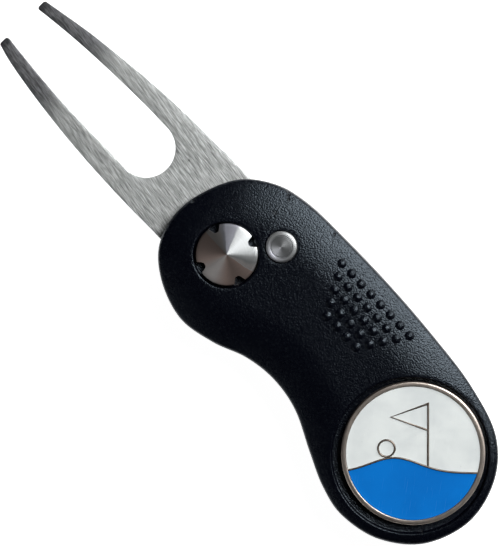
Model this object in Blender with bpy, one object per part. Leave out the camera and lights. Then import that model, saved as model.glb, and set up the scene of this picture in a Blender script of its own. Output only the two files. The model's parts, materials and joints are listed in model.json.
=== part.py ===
"""Folding divot repair tool: two covers, a sprung fork, a release button and a ball marker.

The handle frame has its origin on the fork's pivot at the rear face, +X towards the ball marker,
+Y towards the spine and +Z out of the front face. All pieces hang from one empty, which puts the
middle of the open tool's footprint on the world's Z axis. The fork is modelled open.
"""
import math

import bmesh
import bpy

MM = 0.001

# the stack, upwards from the rear face
THICKNESS = 12.0 * MM
REAR_DECK = 5.0 * MM
PARTING_OVER_DECK = 1.2 * MM
PARTING_GAP = 0.2 * MM
FIT = 0.1 * MM
RUNNING_FIT = 0.15 * MM
SMALL_CHAMFER = 0.2 * MM
# how far in from both faces the middle of a rounded edge lies, as a share of its radius
ROUNDING_SHARE = 0.3

# the cover outline, counter-clockwise from the hub's end
OUTLINE = [
    (-11.4, 0.6), (-9.75, -6.85), (-4.75, -11.4), (2.45, -13.65), (9.4, -12.35), (15.4, -9.9),
    (21.5, -9.0), (27.9, -9.95), (34.85, -13.05), (40.9, -15.55), (46.9, -16.55), (54.2, -14.7),
    (60.3, -9.3), (62.75, -1.0), (60.4, 7.1), (54.8, 12.6), (46.0, 15.25), (36.0, 16.3),
    (24.0, 16.85), (12.0, 16.75), (3.0, 16.2), (-3.5, 14.2), (-8.7, 9.5),
]
OUTLINE_STEPS = 4
CROWN_WIDTH = 9.0 * MM
CROWN_DROP = 1.5 * MM
FRONT_EDGE_RADIUS = 0.8 * MM
REAR_EDGE_RADIUS = 1.4 * MM
FRONT_EDGE_TURNS = (30.0, 60.0)
REAR_EDGE_TURNS = (90.0, 60.0, 30.0, 0.0)
CROWN_STATIONS = (2.2 * MM, 4.2 * MM, 6.5 * MM)

# fork
FORK_THICKNESS = 1.9 * MM
FORK_TIP_THICKNESS = 1.2 * MM
FORK_DROOP = 0.5 * MM
FORK_TAPER_START = -25.0 * MM
FORK_EDGE_BREAK = 0.15 * MM
FORK_TIP_X = -54.35 * MM
FORK_ROOT_X = -12.0 * MM
# outer edges: share of the way from the root to the tip, and y in millimetres
FORK_LOWER_EDGE = [(0.0, -6.9), (0.196, -7.1), (0.387, -7.0), (0.579, -6.6), (0.77, -5.85), (0.914, -5.0)]
FORK_UPPER_EDGE = [(0.0, 11.85), (0.196, 11.45), (0.387, 10.95), (0.579, 10.0), (0.77, 8.8), (0.914, 7.6)]
# inner edges: share of the way from the middle of the gap's round end to the tip, and y
FORK_UPPER_INNER = [(0.164, 7.25), (0.425, 6.85), (0.686, 6.2), (0.882, 5.45)]
FORK_LOWER_INNER = [(0.164, -3.0), (0.425, -3.15), (0.686, -2.95), (0.882, -2.55)]
FORK_EDGE_STEPS = 3
FORK_TIP_WIDTH = 1.7 * MM
FORK_TIP_ROUND = 0.45 * MM
FORK_UPPER_TIP_Y = 5.95 * MM
FORK_LOWER_TIP_Y = -3.3 * MM
FORK_GAP_CENTRE = (-23.3 * MM, 2.15 * MM)
FORK_GAP_RADIUS = 5.15 * MM
FORK_GAP_TURN = math.radians(92.0)
FORK_TRAVEL = math.radians(186.0)
TANG_RADIUS = 7.6 * MM
TANG_SHOULDER_RADIUS = 11.9 * MM

# pivot
BARREL_RADIUS = 2.4 * MM
PIVOT_HEAD_RADIUS = 5.4 * MM
PIVOT_HEAD_THICKNESS = 1.3 * MM
PIVOT_CONE_RISE = 0.3 * MM
PIVOT_POCKET_GAP = 0.45 * MM
PIVOT_HEAD_INSET = 0.2 * MM
NOTCH_WIDTH = 1.5 * MM
NOTCH_DEPTH = 1.1 * MM
NOTCH_ANGLE = math.radians(-18.0)
PIVOT_SCREW_RADIUS = 1.4 * MM
PIVOT_SCREW_HEAD_RADIUS = 3.0 * MM
PIVOT_SCREW_HEAD_THICKNESS = 1.0 * MM
PIVOT_WEB = 0.9 * MM
HEAD_RECESS = 0.15 * MM
WASHER_THICKNESS = 0.3 * MM
WASHER_OUTER_RADIUS = 5.7 * MM
REAR_WASHER_INNER_RADIUS = 4.45 * MM

# torsion spring
SPRING_RADIUS = 3.5 * MM
SPRING_WIRE = 0.7 * MM
SPRING_PITCH = 0.8 * MM
SPRING_TURNS = 2.25
SPRING_START = math.radians(-60.0)
SPRING_LEG = 3.2 * MM
SPRING_CLEARANCE = 0.3 * MM
SPRING_BEND = 0.3 * MM
SPRING_LEG_DEPTH = 0.5 * MM
SPRING_STEPS = 20

# release button, lock leaf and stop
BUTTON_CENTRE = (5.5 * MM, 7.84 * MM)
BUTTON_RADIUS = 2.7 * MM
BUTTON_PROUD = 0.6 * MM
BUTTON_TRAVEL = 1.5 * MM
BUTTON_FLANGE_WIDTH = 0.6 * MM
BUTTON_FLANGE_THICKNESS = 0.6 * MM
BUTTON_STEM_RADIUS = 1.3 * MM
BUTTON_EDGE = 0.35 * MM
# radius and depth of the ring groove and the dish in the button's top
BUTTON_DISH = [(2.1 * MM, 0.0), (1.9 * MM, 0.15 * MM), (1.65 * MM, 0.05 * MM), (0.0, 0.2 * MM)]
STEM_TO_LEAF = 0.3 * MM
FLANGE_OVER_FORK = 0.4 * MM
STEM_CLEARANCE = 0.35 * MM
STEM_SWEEP_OUT = 4.0 * MM
STEM_SWEEP_OVERRUN = math.radians(12.0)
STEM_SWEEP_JOIN = math.radians(2.0)
LEAF_UNDER_DECK = 1.2 * MM
LEAF_THICKNESS = 0.4 * MM
LEAF_WIDTH = 3.4 * MM
LEAF_POCKET_FLOOR = 1.2 * MM
LEAF_POCKET_GAP = 0.3 * MM
LOCK_SCREW_OFFSET = 5.6 * MM
LEAF_END_OFFSET = 7.1 * MM
LOCK_SCREW_RADIUS = 0.75 * MM
LOCK_SCREW_HEAD_RADIUS = 1.35 * MM
LOCK_SCREW_HEAD_THICKNESS = 0.8 * MM
TOOTH_LENGTH = 1.3 * MM
TOOTH_WIDTH = 2.0 * MM
TOOTH_ENGAGEMENT = 1.4 * MM
STOP_PIN_RADIUS = 1.0 * MM
STOP_PIN_ORBIT = 10.6 * MM
STOP_PIN_SEAT = 1.6 * MM

# slot walls
SPINE_WALL_Y = 10.95 * MM
HUB_WALL_Y = 12.25 * MM
HUB_WALL_END_X = 4.5 * MM
SPINE_WALL_START_X = 12.0 * MM
TIP_CLEARANCE = 0.6 * MM
SLOT_FAR = 40.0 * MM
SLOT_REACH_START = math.radians(-44.0)

# grip bumps
BUMP_RADIUS = 0.75 * MM
BUMP_HEIGHT = 0.45 * MM
BUMP_SINK = 0.2 * MM
BUMP_PITCH = 2.45 * MM
BUMP_ROW_SPACING = 2.03 * MM
BUMP_ROWS = 5
BUMPS_IN_LONGEST_ROW = 8
BUMP_FIELD_X = 23.3 * MM
BUMP_FIELD_Y = 13.5 * MM
BUMP_SIDES = 8
BUMP_SMOOTHING = 60.0
# shares of a bump's radius and height, from its foot upwards
BUMP_PROFILE = [(1.0, 0.0), (0.8, 0.65)]

# ball marker, its pocket and magnet
MARKER_CENTRE = (47.2 * MM, 0.0)
MARKER_RADIUS = 12.5 * MM
MARKER_THICKNESS = 1.65 * MM
MARKER_RIM_WIDTH = 0.85 * MM
MARKER_FIELD_DEPTH = 0.4 * MM
MARKER_LINE_DROP = 0.05 * MM
MARKER_EDGE_RADIUS = 0.25 * MM
HAIR = 0.02 * MM
POCKET_CENTRE = (47.2 * MM, -0.6 * MM)
POCKET_GAP = 1.15 * MM
POCKET_DEPTH = 2.2 * MM
MAGNET_RADIUS = 5.0 * MM
MAGNET_THICKNESS = 1.2 * MM
ART_TURN = math.radians(46.9)
ART_LINE = 0.45 * MM
HILL_LEVEL = -3.4 * MM
HILL_RISE = 2.6 * MM
HILL_CENTRE_X = -3.2 * MM
HILL_WIDTH = 6.0 * MM
POLE_X = 2.6 * MM
POLE_HEADROOM = 2.65 * MM
FLAG_LENGTH = 6.4 * MM
FLAG_HEIGHT = 4.6 * MM
BALL_RADIUS = 1.25 * MM
BALL_X = -4.6 * MM
BALL_OVER_HILL = 0.3 * MM
FLAG_TIP_STRETCH = 1.8
SKYLINE_STEPS = 20
SKYLINE_HALVINGS = 30

# cover screws
COVER_SCREWS = [(15.5, 13.9), (36.5, 13.6), (56.2, -7.3), (56.0, 8.0)]
SCREW_RADIUS = 0.9 * MM
SCREW_HEAD_RADIUS = 1.75 * MM
SCREW_HEAD_THICKNESS = 1.2 * MM
SCREW_UNDER_FACE = 3.0 * MM
SCREW_POINT_SHARE = 0.6
PIVOT_SCREW_SHORTER = 1.2 * MM
# cross drives: length, width and depth
PIVOT_DRIVE = (2.8 * MM, 0.7 * MM, 0.6 * MM)
COVER_DRIVE = (2.0 * MM, 0.5 * MM, 0.6 * MM)
LOCK_DRIVE = (1.6 * MM, 0.4 * MM, 0.4 * MM)

# worked out from the values above
FORK_BOTTOM = REAR_DECK + 2 * FIT + WASHER_THICKNESS
FORK_MIDDLE = FORK_BOTTOM + FORK_THICKNESS / 2
FORK_TOP = FORK_BOTTOM + FORK_THICKNESS
SLOT_TOP = FORK_TOP + WASHER_THICKNESS + 2 * FIT
PARTING_HEIGHT = REAR_DECK + PARTING_OVER_DECK
LEAF_TOP = REAR_DECK - LEAF_UNDER_DECK
SCREW_TOP = THICKNESS - SCREW_UNDER_FACE
TIP_REACH = math.hypot(FORK_TIP_X, max(FORK_UPPER_TIP_Y, -FORK_LOWER_TIP_Y) + FORK_TIP_WIDTH / 2)
WEB_BOTTOM = HEAD_RECESS + PIVOT_SCREW_HEAD_THICKNESS + FIT
WEB_TOP = WEB_BOTTOM + PIVOT_WEB
HEAD_RIM_TOP = THICKNESS - PIVOT_HEAD_INSET
HEAD_UNDERSIDE = HEAD_RIM_TOP - PIVOT_HEAD_THICKNESS
FORK_TOP_Y = FORK_UPPER_EDGE[0][1] * MM
TANG_X = -math.sqrt(TANG_SHOULDER_RADIUS ** 2 - FORK_TOP_Y ** 2)
STOP_PIN_X = TANG_X + FIT + STOP_PIN_RADIUS
STOP_PIN_CENTRE = (STOP_PIN_X, math.sqrt(STOP_PIN_ORBIT ** 2 - STOP_PIN_X ** 2))
BUTTON_ORBIT = math.hypot(*BUTTON_CENTRE)
BUTTON_ANGLE = math.atan2(BUTTON_CENTRE[1], BUTTON_CENTRE[0])
BUTTON_TOP = THICKNESS + BUTTON_PROUD
FLANGE_BOTTOM = FORK_TOP + BUTTON_TRAVEL + FLANGE_OVER_FORK
FLANGE_TOP = FLANGE_BOTTOM + BUTTON_FLANGE_THICKNESS
FLANGE_RADIUS = BUTTON_RADIUS + BUTTON_FLANGE_WIDTH
POCKET_FLOOR = THICKNESS - POCKET_DEPTH
MARKER_BOTTOM = POCKET_FLOOR + FIT
MARKER_TOP = MARKER_BOTTOM + MARKER_THICKNESS
FIELD_RADIUS = MARKER_RADIUS - MARKER_RIM_WIDTH
POLE_TOP = math.sqrt((FIELD_RADIUS - POLE_HEADROOM) ** 2 - POLE_X ** 2)
POCKET_RADIUS = MARKER_RADIUS + POCKET_GAP


# ---- small geometry helpers -------------------------------------------------------------------

def arc(centre, radius, start, end, steps):
    """Points on an arc, both ends included."""
    return [
        (
            centre[0] + radius * math.cos(start + (end - start) * k / steps),
            centre[1] + radius * math.sin(start + (end - start) * k / steps),
        )
        for k in range(steps + 1)
    ]


def circle(centre, radius, steps):
    return arc(centre, radius, 0.0, 2 * math.pi, steps)[:-1]


def catmull(before, start, end, after, t):
    """One coordinate of a Catmull-Rom span."""
    return 0.5 * (
        2 * start
        + (end - before) * t
        + (2 * before - 5 * start + 4 * end - after) * t * t
        + (3 * start - before - 3 * end + after) * t ** 3
    )


def smooth_loop(points, steps):
    """A closed smooth curve through the points."""
    loop = []
    count = len(points)
    for k in range(count):
        span = [points[(k + shift) % count] for shift in (-1, 0, 1, 2)]
        for step in range(steps):
            loop.append(tuple(catmull(*[p[axis] for p in span], step / steps) for axis in (0, 1)))
    return loop


def smooth_run(points, steps):
    """An open smooth curve through the points, ends included."""
    padded = [points[0]] + list(points) + [points[-1]]
    run = []
    for k in range(len(points) - 1):
        span = padded[k:k + 4]
        for step in range(steps):
            run.append(tuple(catmull(*[p[axis] for p in span], step / steps) for axis in (0, 1)))
    return run + [points[-1]]


def millimetres(points):
    return [(x * MM, y * MM) for x, y in points]


def inset(loop, distance):
    """A counter-clockwise loop moved inwards along its normals."""
    moved = []
    count = len(loop)
    for k in range(count):
        before = loop[k - 1]
        after = loop[(k + 1) % count]
        dx = after[0] - before[0]
        dy = after[1] - before[1]
        length = math.hypot(dx, dy)
        moved.append((loop[k][0] - distance * dy / length, loop[k][1] + distance * dx / length))
    return moved


def polar(radius, angle):
    return (radius * math.cos(angle), radius * math.sin(angle))


def turned_points(points, angle, centre=(0.0, 0.0)):
    """The points turned about the origin and then moved to a centre."""
    cos, sin = math.cos(angle), math.sin(angle)
    return [(centre[0] + x * cos - y * sin, centre[1] + x * sin + y * cos) for x, y in points]


def distance_to_loop(x, y, loop):
    """Shortest distance from a point to a closed polyline."""
    best = math.inf
    for k, (ax, ay) in enumerate(loop):
        bx, by = loop[(k + 1) % len(loop)]
        length = (bx - ax) ** 2 + (by - ay) ** 2
        t = max(0.0, min(1.0, ((x - ax) * (bx - ax) + (y - ay) * (by - ay)) / length))
        best = min(best, math.hypot(x - ax - t * (bx - ax), y - ay - t * (by - ay)))
    return best


# ---- objects ----------------------------------------------------------------------------------

def clear_scene():
    for thing in list(bpy.data.objects):
        bpy.data.objects.remove(thing, do_unlink=True)


def material(name, colour, roughness, metallic):
    made = bpy.data.materials.new(name)
    made.use_nodes = True
    shader = made.node_tree.nodes["Principled BSDF"]
    shader.inputs["Base Color"].default_value = (*colour, 1.0)
    shader.inputs["Roughness"].default_value = roughness
    shader.inputs["Metallic"].default_value = metallic
    return made


def add_object(name, data, frame, place=(0.0, 0.0, 0.0), look=None):
    made = bpy.data.objects.new(name, data)
    bpy.context.scene.collection.objects.link(made)
    made.parent = frame
    made.location = place
    if look is not None:
        data.materials.append(look)
    return made


def mesh_from(name, bm, smooth_angle=30.0):
    bmesh.ops.recalc_face_normals(bm, faces=bm.faces)
    mesh = bpy.data.meshes.new(name)
    bm.to_mesh(mesh)
    bm.free()
    mesh.shade_smooth()
    mesh.set_sharp_from_angle(angle=math.radians(smooth_angle))
    return mesh


def stacked(name, rings, smooth_angle=30.0):
    """A closed solid through rings of equally many (x, y, z) points, capped at both ends."""
    bm = bmesh.new()
    levels = [[bm.verts.new(point) for point in ring] for ring in rings]
    count = len(rings[0])
    for low, high in zip(levels, levels[1:]):
        for k in range(count):
            after = (k + 1) % count
            bm.faces.new((low[k], low[after], high[after], high[k]))
    bm.faces.new(list(reversed(levels[0])))
    bm.faces.new(levels[-1])
    return mesh_from(name, bm, smooth_angle)


def level(loop, z):
    return [(x, y, z) for x, y in loop]


def prism(name, loop, low, high):
    return stacked(name, [level(loop, low), level(loop, high)])


def lathe(name, profile, segments):
    """A solid of revolution about Z from an (r, z) profile whose two ends lie on the axis."""
    bm = bmesh.new()
    verts = [bm.verts.new((r, 0.0, z)) for r, z in profile]
    edges = [bm.edges.new(pair) for pair in zip(verts, verts[1:])]
    bmesh.ops.spin(
        bm, geom=verts + edges, cent=(0, 0, 0), axis=(0, 0, 1), angle=2 * math.pi,
        steps=segments, use_merge=True,
    )
    bmesh.ops.remove_doubles(bm, verts=bm.verts, dist=1e-6)
    return mesh_from(name, bm)


def ring_mesh(name, inner, outer, low, high, segments):
    """A flat washer, turned about Z."""
    bm = bmesh.new()
    corners = [(inner, low), (outer, low), (outer, high), (inner, high)]
    verts = [bm.verts.new((r, 0.0, z)) for r, z in corners]
    edges = [bm.edges.new((verts[k], verts[(k + 1) % 4])) for k in range(4)]
    bmesh.ops.spin(
        bm, geom=verts + edges, cent=(0, 0, 0), axis=(0, 0, 1), angle=2 * math.pi,
        steps=segments, use_merge=True,
    )
    return mesh_from(name, bm)


def boolean(target, other, operation="DIFFERENCE"):
    modifier = target.modifiers.new(other.name, "BOOLEAN")
    modifier.operation = operation
    modifier.object = other


def tool(name, mesh, frame, place=(0.0, 0.0, 0.0)):
    """A guide solid that only shapes other pieces."""
    made = add_object(name, mesh, frame, place)
    made.hide_render = True
    made.display_type = "WIRE"
    return made


# ---- the covers -------------------------------------------------------------------------------

def cover_outline():
    return smooth_loop(millimetres(OUTLINE), OUTLINE_STEPS)


def crown_height(depth):
    """Height of the front face at a distance in from the outline."""
    share = max(0.0, 1.0 - depth / CROWN_WIDTH)
    return THICKNESS - CROWN_DROP * share ** 2


def front_rings(loop, bottom):
    edge_low = crown_height(0.0) - FRONT_EDGE_RADIUS
    rings = [level(loop, bottom), level(loop, edge_low)]
    for turn in FRONT_EDGE_TURNS:
        depth = FRONT_EDGE_RADIUS * (1 - math.cos(math.radians(turn)))
        rise = FRONT_EDGE_RADIUS * math.sin(math.radians(turn))
        rings.append(level(inset(loop, depth), edge_low + rise))
    for depth in (FRONT_EDGE_RADIUS, *CROWN_STATIONS, CROWN_WIDTH):
        rings.append(level(inset(loop, depth), crown_height(depth)))
    return rings


def rear_rings(loop, top):
    rings = []
    for turn in REAR_EDGE_TURNS:
        depth = REAR_EDGE_RADIUS * (1 - math.cos(math.radians(turn)))
        height = REAR_EDGE_RADIUS * (1 - math.sin(math.radians(turn)))
        rings.append(level(inset(loop, depth), height))
    return rings + [level(loop, top)]


def slot_outline():
    """Where the fork swings and lies: all but the spine wall and the far end."""
    reach = TIP_REACH + TIP_CLEARANCE
    corner = math.asin(SPINE_WALL_Y / reach)
    return (
        [(-SLOT_FAR, -SLOT_FAR), (SLOT_FAR, -SLOT_FAR)]
        + arc((0.0, 0.0), reach, SLOT_REACH_START, corner, 14)
        + [(SPINE_WALL_START_X, SPINE_WALL_Y), (HUB_WALL_END_X, HUB_WALL_Y), (-SLOT_FAR, HUB_WALL_Y)]
    )


def leaf_box(start, end, width, low, high):
    """A box along the line from the pivot through the button."""
    corners = [(start, -width / 2), (end, -width / 2), (end, width / 2), (start, width / 2)]
    return prism("leaf_box", turned_points(corners, BUTTON_ANGLE), low, high)


def spring_leg_angle():
    return SPRING_START + 2 * math.pi * SPRING_TURNS


def bump_ring(bm, x, y, z, share):
    """The corners of one bump at a height, its radius cut to a share."""
    return [bm.verts.new((px, py, z)) for px, py in circle((x, y), BUMP_RADIUS * share, BUMP_SIDES)]


def make_bumps(frame, loop):
    """Rows of domes that lie on the crowned face, each row one bump shorter than the last."""
    bm = bmesh.new()
    for row in range(BUMP_ROWS):
        count = BUMPS_IN_LONGEST_ROW - row
        for k in range(count):
            x = BUMP_FIELD_X + (k - (count - 1) / 2) * BUMP_PITCH
            y = BUMP_FIELD_Y - row * BUMP_ROW_SPACING
            foot = crown_height(distance_to_loop(x, y, loop))
            ring = bump_ring(bm, x, y, foot - 2 * BUMP_SINK, 1.0)
            bm.faces.new(list(reversed(ring)))
            for share, height in BUMP_PROFILE:
                above = bump_ring(bm, x, y, foot + height * BUMP_HEIGHT, share)
                for side in range(BUMP_SIDES):
                    after = (side + 1) % BUMP_SIDES
                    bm.faces.new((ring[side], ring[after], above[after], above[side]))
                ring = above
            top = bm.verts.new((x, y, foot + BUMP_HEIGHT))
            for side in range(BUMP_SIDES):
                bm.faces.new((ring[side], ring[(side + 1) % BUMP_SIDES], top))
    return tool("grip_bumps", mesh_from("grip_bumps", bm, BUMP_SMOOTHING), frame)


def make_front_cover(frame, look):
    loop = cover_outline()
    bottom = PARTING_HEIGHT + PARTING_GAP / 2
    shell = stacked("front_cover", front_rings(loop, bottom))
    cover = add_object("front_cover", shell, frame, look=look)
    boolean(cover, make_bumps(frame, loop), "UNION")
    slot = prism("front_slot", slot_outline(), bottom - MM, SLOT_TOP)
    boolean(cover, tool("front_slot", slot, frame))

    pivot_pocket = [
        (0.0, HEAD_UNDERSIDE - FIT),
        (PIVOT_HEAD_RADIUS + PIVOT_POCKET_GAP, HEAD_UNDERSIDE - FIT),
        (PIVOT_HEAD_RADIUS + PIVOT_POCKET_GAP, THICKNESS + 2 * MM),
        (0.0, THICKNESS + 2 * MM),
    ]
    boolean(cover, tool("pivot_pocket", lathe("pivot_pocket", pivot_pocket, 40), frame))
    bore = circle((0.0, 0.0), BARREL_RADIUS + RUNNING_FIT, 32)
    bore = prism("barrel_bore", bore, SLOT_TOP - MM, THICKNESS)
    boolean(cover, tool("barrel_bore", bore, frame))

    button_hole = [
        (0.0, SLOT_TOP - MM),
        (FLANGE_RADIUS + RUNNING_FIT, SLOT_TOP - MM),
        (FLANGE_RADIUS + RUNNING_FIT, FLANGE_TOP + FIT),
        (BUTTON_RADIUS + RUNNING_FIT, FLANGE_TOP + FIT),
        (BUTTON_RADIUS + RUNNING_FIT, THICKNESS + 2 * MM),
        (0.0, THICKNESS + 2 * MM),
    ]
    hole = lathe("button_hole", button_hole, 36)
    boolean(cover, tool("button_hole", hole, frame, (*BUTTON_CENTRE, 0.0)))

    magnet_floor = POCKET_FLOOR - FIT / 2 - MAGNET_THICKNESS - FIT
    pocket = circle(POCKET_CENTRE, POCKET_RADIUS, 56)
    pocket = prism("marker_pocket", pocket, POCKET_FLOOR, THICKNESS + 2 * MM)
    boolean(cover, tool("marker_pocket", pocket, frame))
    magnet_seat = circle(POCKET_CENTRE, MAGNET_RADIUS + FIT, 32)
    magnet_seat = prism("magnet_seat", magnet_seat, magnet_floor, THICKNESS)
    boolean(cover, tool("magnet_seat", magnet_seat, frame))

    pin_seat = circle(STOP_PIN_CENTRE, STOP_PIN_RADIUS + FIT, 16)
    pin_seat = prism("pin_seat", pin_seat, SLOT_TOP - MM, SLOT_TOP + STOP_PIN_SEAT + FIT)
    boolean(cover, tool("front_pin_seat", pin_seat, frame))
    for k, place in enumerate(millimetres(COVER_SCREWS)):
        pilot = circle(place, SCREW_RADIUS + FIT, 14)
        pilot = prism("pilot", pilot, bottom - MM, SCREW_TOP + FIT)
        boolean(cover, tool(f"screw_pilot_{k + 1}", pilot, frame))
    return cover


def make_rear_cover(frame, look):
    loop = cover_outline()
    top = PARTING_HEIGHT - PARTING_GAP / 2
    shell = stacked("rear_cover", rear_rings(loop, top))
    cover = add_object("rear_cover", shell, frame, look=look)
    slot = prism("rear_slot", slot_outline(), REAR_DECK, top + MM)
    boolean(cover, tool("rear_slot", slot, frame))

    spring_room = SPRING_RADIUS + SPRING_WIRE / 2 + SPRING_CLEARANCE
    screw_hole = [
        (0.0, -MM),
        (PIVOT_SCREW_HEAD_RADIUS + RUNNING_FIT, -MM),
        (PIVOT_SCREW_HEAD_RADIUS + RUNNING_FIT, WEB_BOTTOM),
        (PIVOT_SCREW_RADIUS + FIT, WEB_BOTTOM),
        (PIVOT_SCREW_RADIUS + FIT, WEB_TOP),
        (spring_room, WEB_TOP),
        (spring_room, top + MM),
        (0.0, top + MM),
    ]
    boolean(cover, tool("spring_room", lathe("spring_room", screw_hole, 36), frame))
    leg_end = SPRING_RADIUS + SPRING_LEG + SPRING_CLEARANCE
    leg_half = SPRING_WIRE / 2 + SPRING_CLEARANCE
    leg_start = SPRING_RADIUS - SPRING_WIRE
    groove = [(leg_start, -leg_half), (leg_end, -leg_half), (leg_end, leg_half), (leg_start, leg_half)]
    groove = prism("leg_groove", turned_points(groove, SPRING_START), WEB_TOP, top + MM)
    boolean(cover, tool("leg_groove", groove, frame))

    width = LEAF_WIDTH + 2 * LEAF_POCKET_GAP
    inner = TANG_RADIUS - TOOTH_LENGTH - LEAF_POCKET_GAP
    ledge = BUTTON_ORBIT + LOCK_SCREW_OFFSET - 2 * LOCK_SCREW_HEAD_RADIUS + LOCK_SCREW_RADIUS
    deep = leaf_box(inner, ledge, width, LEAF_POCKET_FLOOR, top + MM)
    boolean(cover, tool("leaf_pocket", deep, frame))
    leaf_bottom = LEAF_TOP - LEAF_THICKNESS
    leaf_end = BUTTON_ORBIT + LEAF_END_OFFSET + LEAF_POCKET_GAP
    shallow = leaf_box(inner, leaf_end, width, leaf_bottom - FIT, top + MM)
    boolean(cover, tool("leaf_seat", shallow, frame))
    pilot = polar(BUTTON_ORBIT + LOCK_SCREW_OFFSET, BUTTON_ANGLE)
    pilot = circle(pilot, LOCK_SCREW_RADIUS + FIT, 14)
    pilot = prism("lock_pilot", pilot, LEAF_POCKET_FLOOR, LEAF_TOP)
    boolean(cover, tool("lock_pilot", pilot, frame))

    pin_seat = circle(STOP_PIN_CENTRE, STOP_PIN_RADIUS + FIT, 16)
    pin_seat = prism("pin_seat", pin_seat, REAR_DECK - STOP_PIN_SEAT - FIT, REAR_DECK + MM)
    boolean(cover, tool("rear_pin_seat", pin_seat, frame))
    head_seat = HEAD_RECESS + SCREW_HEAD_THICKNESS + FIT
    for k, place in enumerate(millimetres(COVER_SCREWS)):
        hole = [
            (0.0, -MM),
            (SCREW_HEAD_RADIUS + FIT, -MM),
            (SCREW_HEAD_RADIUS + FIT, head_seat),
            (SCREW_RADIUS + FIT, head_seat),
            (SCREW_RADIUS + FIT, top + MM),
            (0.0, top + MM),
        ]
        hole = lathe("screw_hole", hole, 16)
        boolean(cover, tool(f"screw_hole_{k + 1}", hole, frame, (*place, 0.0)))
    return cover


# ---- the fork ---------------------------------------------------------------------------------

def tip_corners(centre_y):
    """The squared end of one tine, from its upper corner to its lower one."""
    half = FORK_TIP_WIDTH / 2 - FORK_TIP_ROUND
    x = FORK_TIP_X + FORK_TIP_ROUND
    upper = arc((x, centre_y + half), FORK_TIP_ROUND, math.radians(90), math.radians(180), 3)
    lower = arc((x, centre_y - half), FORK_TIP_ROUND, math.radians(180), math.radians(270), 3)
    return upper + lower


def fork_edge(stations, start_x):
    """Points of one edge from its stations, between a start and the tip."""
    return [(start_x + share * (FORK_TIP_X - start_x), y * MM) for share, y in stations]


def fork_loop():
    """Blade outline, counter-clockwise from the hub end of the lower edge."""
    lower_tip = tip_corners(FORK_LOWER_TIP_Y)
    upper_tip = tip_corners(FORK_UPPER_TIP_Y)
    gap_x = FORK_GAP_CENTRE[0]
    lower_edge = smooth_run(fork_edge(FORK_LOWER_EDGE, FORK_ROOT_X) + [lower_tip[-1]], FORK_EDGE_STEPS)
    lower_inner = smooth_run(fork_edge(FORK_LOWER_INNER, gap_x) + [lower_tip[0]], FORK_EDGE_STEPS)
    upper_inner = smooth_run(fork_edge(FORK_UPPER_INNER, gap_x) + [upper_tip[-1]], FORK_EDGE_STEPS)
    upper_edge = smooth_run(fork_edge(FORK_UPPER_EDGE, FORK_ROOT_X) + [upper_tip[0]], FORK_EDGE_STEPS)
    gap = arc(FORK_GAP_CENTRE, FORK_GAP_RADIUS, FORK_GAP_TURN, -FORK_GAP_TURN, 16)
    clockwise = (
        lower_edge[:-1]
        + list(reversed(lower_tip))
        + list(reversed(lower_inner))[1:]
        + list(reversed(gap))
        + upper_inner[:-1]
        + list(reversed(upper_tip))
        + list(reversed(upper_edge))[1:]
        + [(TANG_X, FORK_TOP_Y), (TANG_X, 0.0), (TANG_X, FORK_LOWER_EDGE[0][1] * MM)]
    )
    return list(reversed(clockwise))


def fork_rings(loop):
    """Top and bottom with a broken edge, thinner and slightly bent down towards the tips."""
    span = FORK_TAPER_START - FORK_TIP_X

    def shaped(outline, side, edge):
        ring = []
        for x, y in outline:
            share = max(0.0, min(1.0, (FORK_TAPER_START - x) / span))
            half = (FORK_THICKNESS + (FORK_TIP_THICKNESS - FORK_THICKNESS) * share) / 2 - edge
            ring.append((x, y, FORK_MIDDLE - FORK_DROOP * share ** 2 + side * half))
        return ring

    small = inset(loop, FORK_EDGE_BREAK)
    return [
        shaped(small, -1, 0.0),
        shaped(loop, -1, FORK_EDGE_BREAK),
        shaped(loop, 1, FORK_EDGE_BREAK),
        shaped(small, 1, 0.0),
    ]


def stem_sweep():
    """The path of the button's stem round the tang, closed fork to open fork."""
    reach = BUTTON_STEM_RADIUS + STEM_CLEARANCE
    inner = BUTTON_ORBIT - reach
    outer = BUTTON_ORBIT + reach + STEM_SWEEP_OUT
    start = BUTTON_ANGLE - FORK_TRAVEL
    end = BUTTON_ANGLE + STEM_SWEEP_OVERRUN
    round_end = arc(polar(BUTTON_ORBIT, start), reach, start + math.pi, start + 2 * math.pi, 8)
    return (
        round_end
        + arc((0.0, 0.0), outer, start, end, 24)
        + arc((0.0, 0.0), inner, end, start + STEM_SWEEP_JOIN, 40)
    )


def make_fork(frame, look):
    loop = fork_loop()
    fork = add_object("fork", stacked("fork", fork_rings(loop), 25.0), frame, look=look)
    disc = prism("tang_disc", circle((0.0, 0.0), TANG_RADIUS, 48), FORK_BOTTOM, FORK_TOP)
    boolean(fork, tool("tang_disc", disc, frame), "UNION")
    low, high = FORK_BOTTOM - MM, FORK_TOP + MM
    boolean(fork, tool("stem_sweep", prism("stem_sweep", stem_sweep(), low, high), frame))
    bore = prism("fork_bore", circle((0.0, 0.0), BARREL_RADIUS + RUNNING_FIT, 32), low, high)
    boolean(fork, tool("fork_bore", bore, frame))
    leg = circle(polar(SPRING_RADIUS, spring_leg_angle()), SPRING_WIRE / 2 + FIT, 12)
    boolean(fork, tool("spring_leg_hole", prism("spring_leg_hole", leg, low, high), frame))
    start = TANG_RADIUS - TOOTH_LENGTH - FIT
    half = TOOTH_WIDTH / 2 + FIT
    notch = [(start, -half), (TANG_RADIUS + MM, -half), (TANG_RADIUS + MM, half), (start, half)]
    for name, angle in (("open_notch", BUTTON_ANGLE), ("closed_notch", BUTTON_ANGLE - FORK_TRAVEL)):
        boolean(fork, tool(name, prism(name, turned_points(notch, angle), low, high), frame))
    return fork


# ---- pivot, washers and springs ---------------------------------------------------------------

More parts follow.
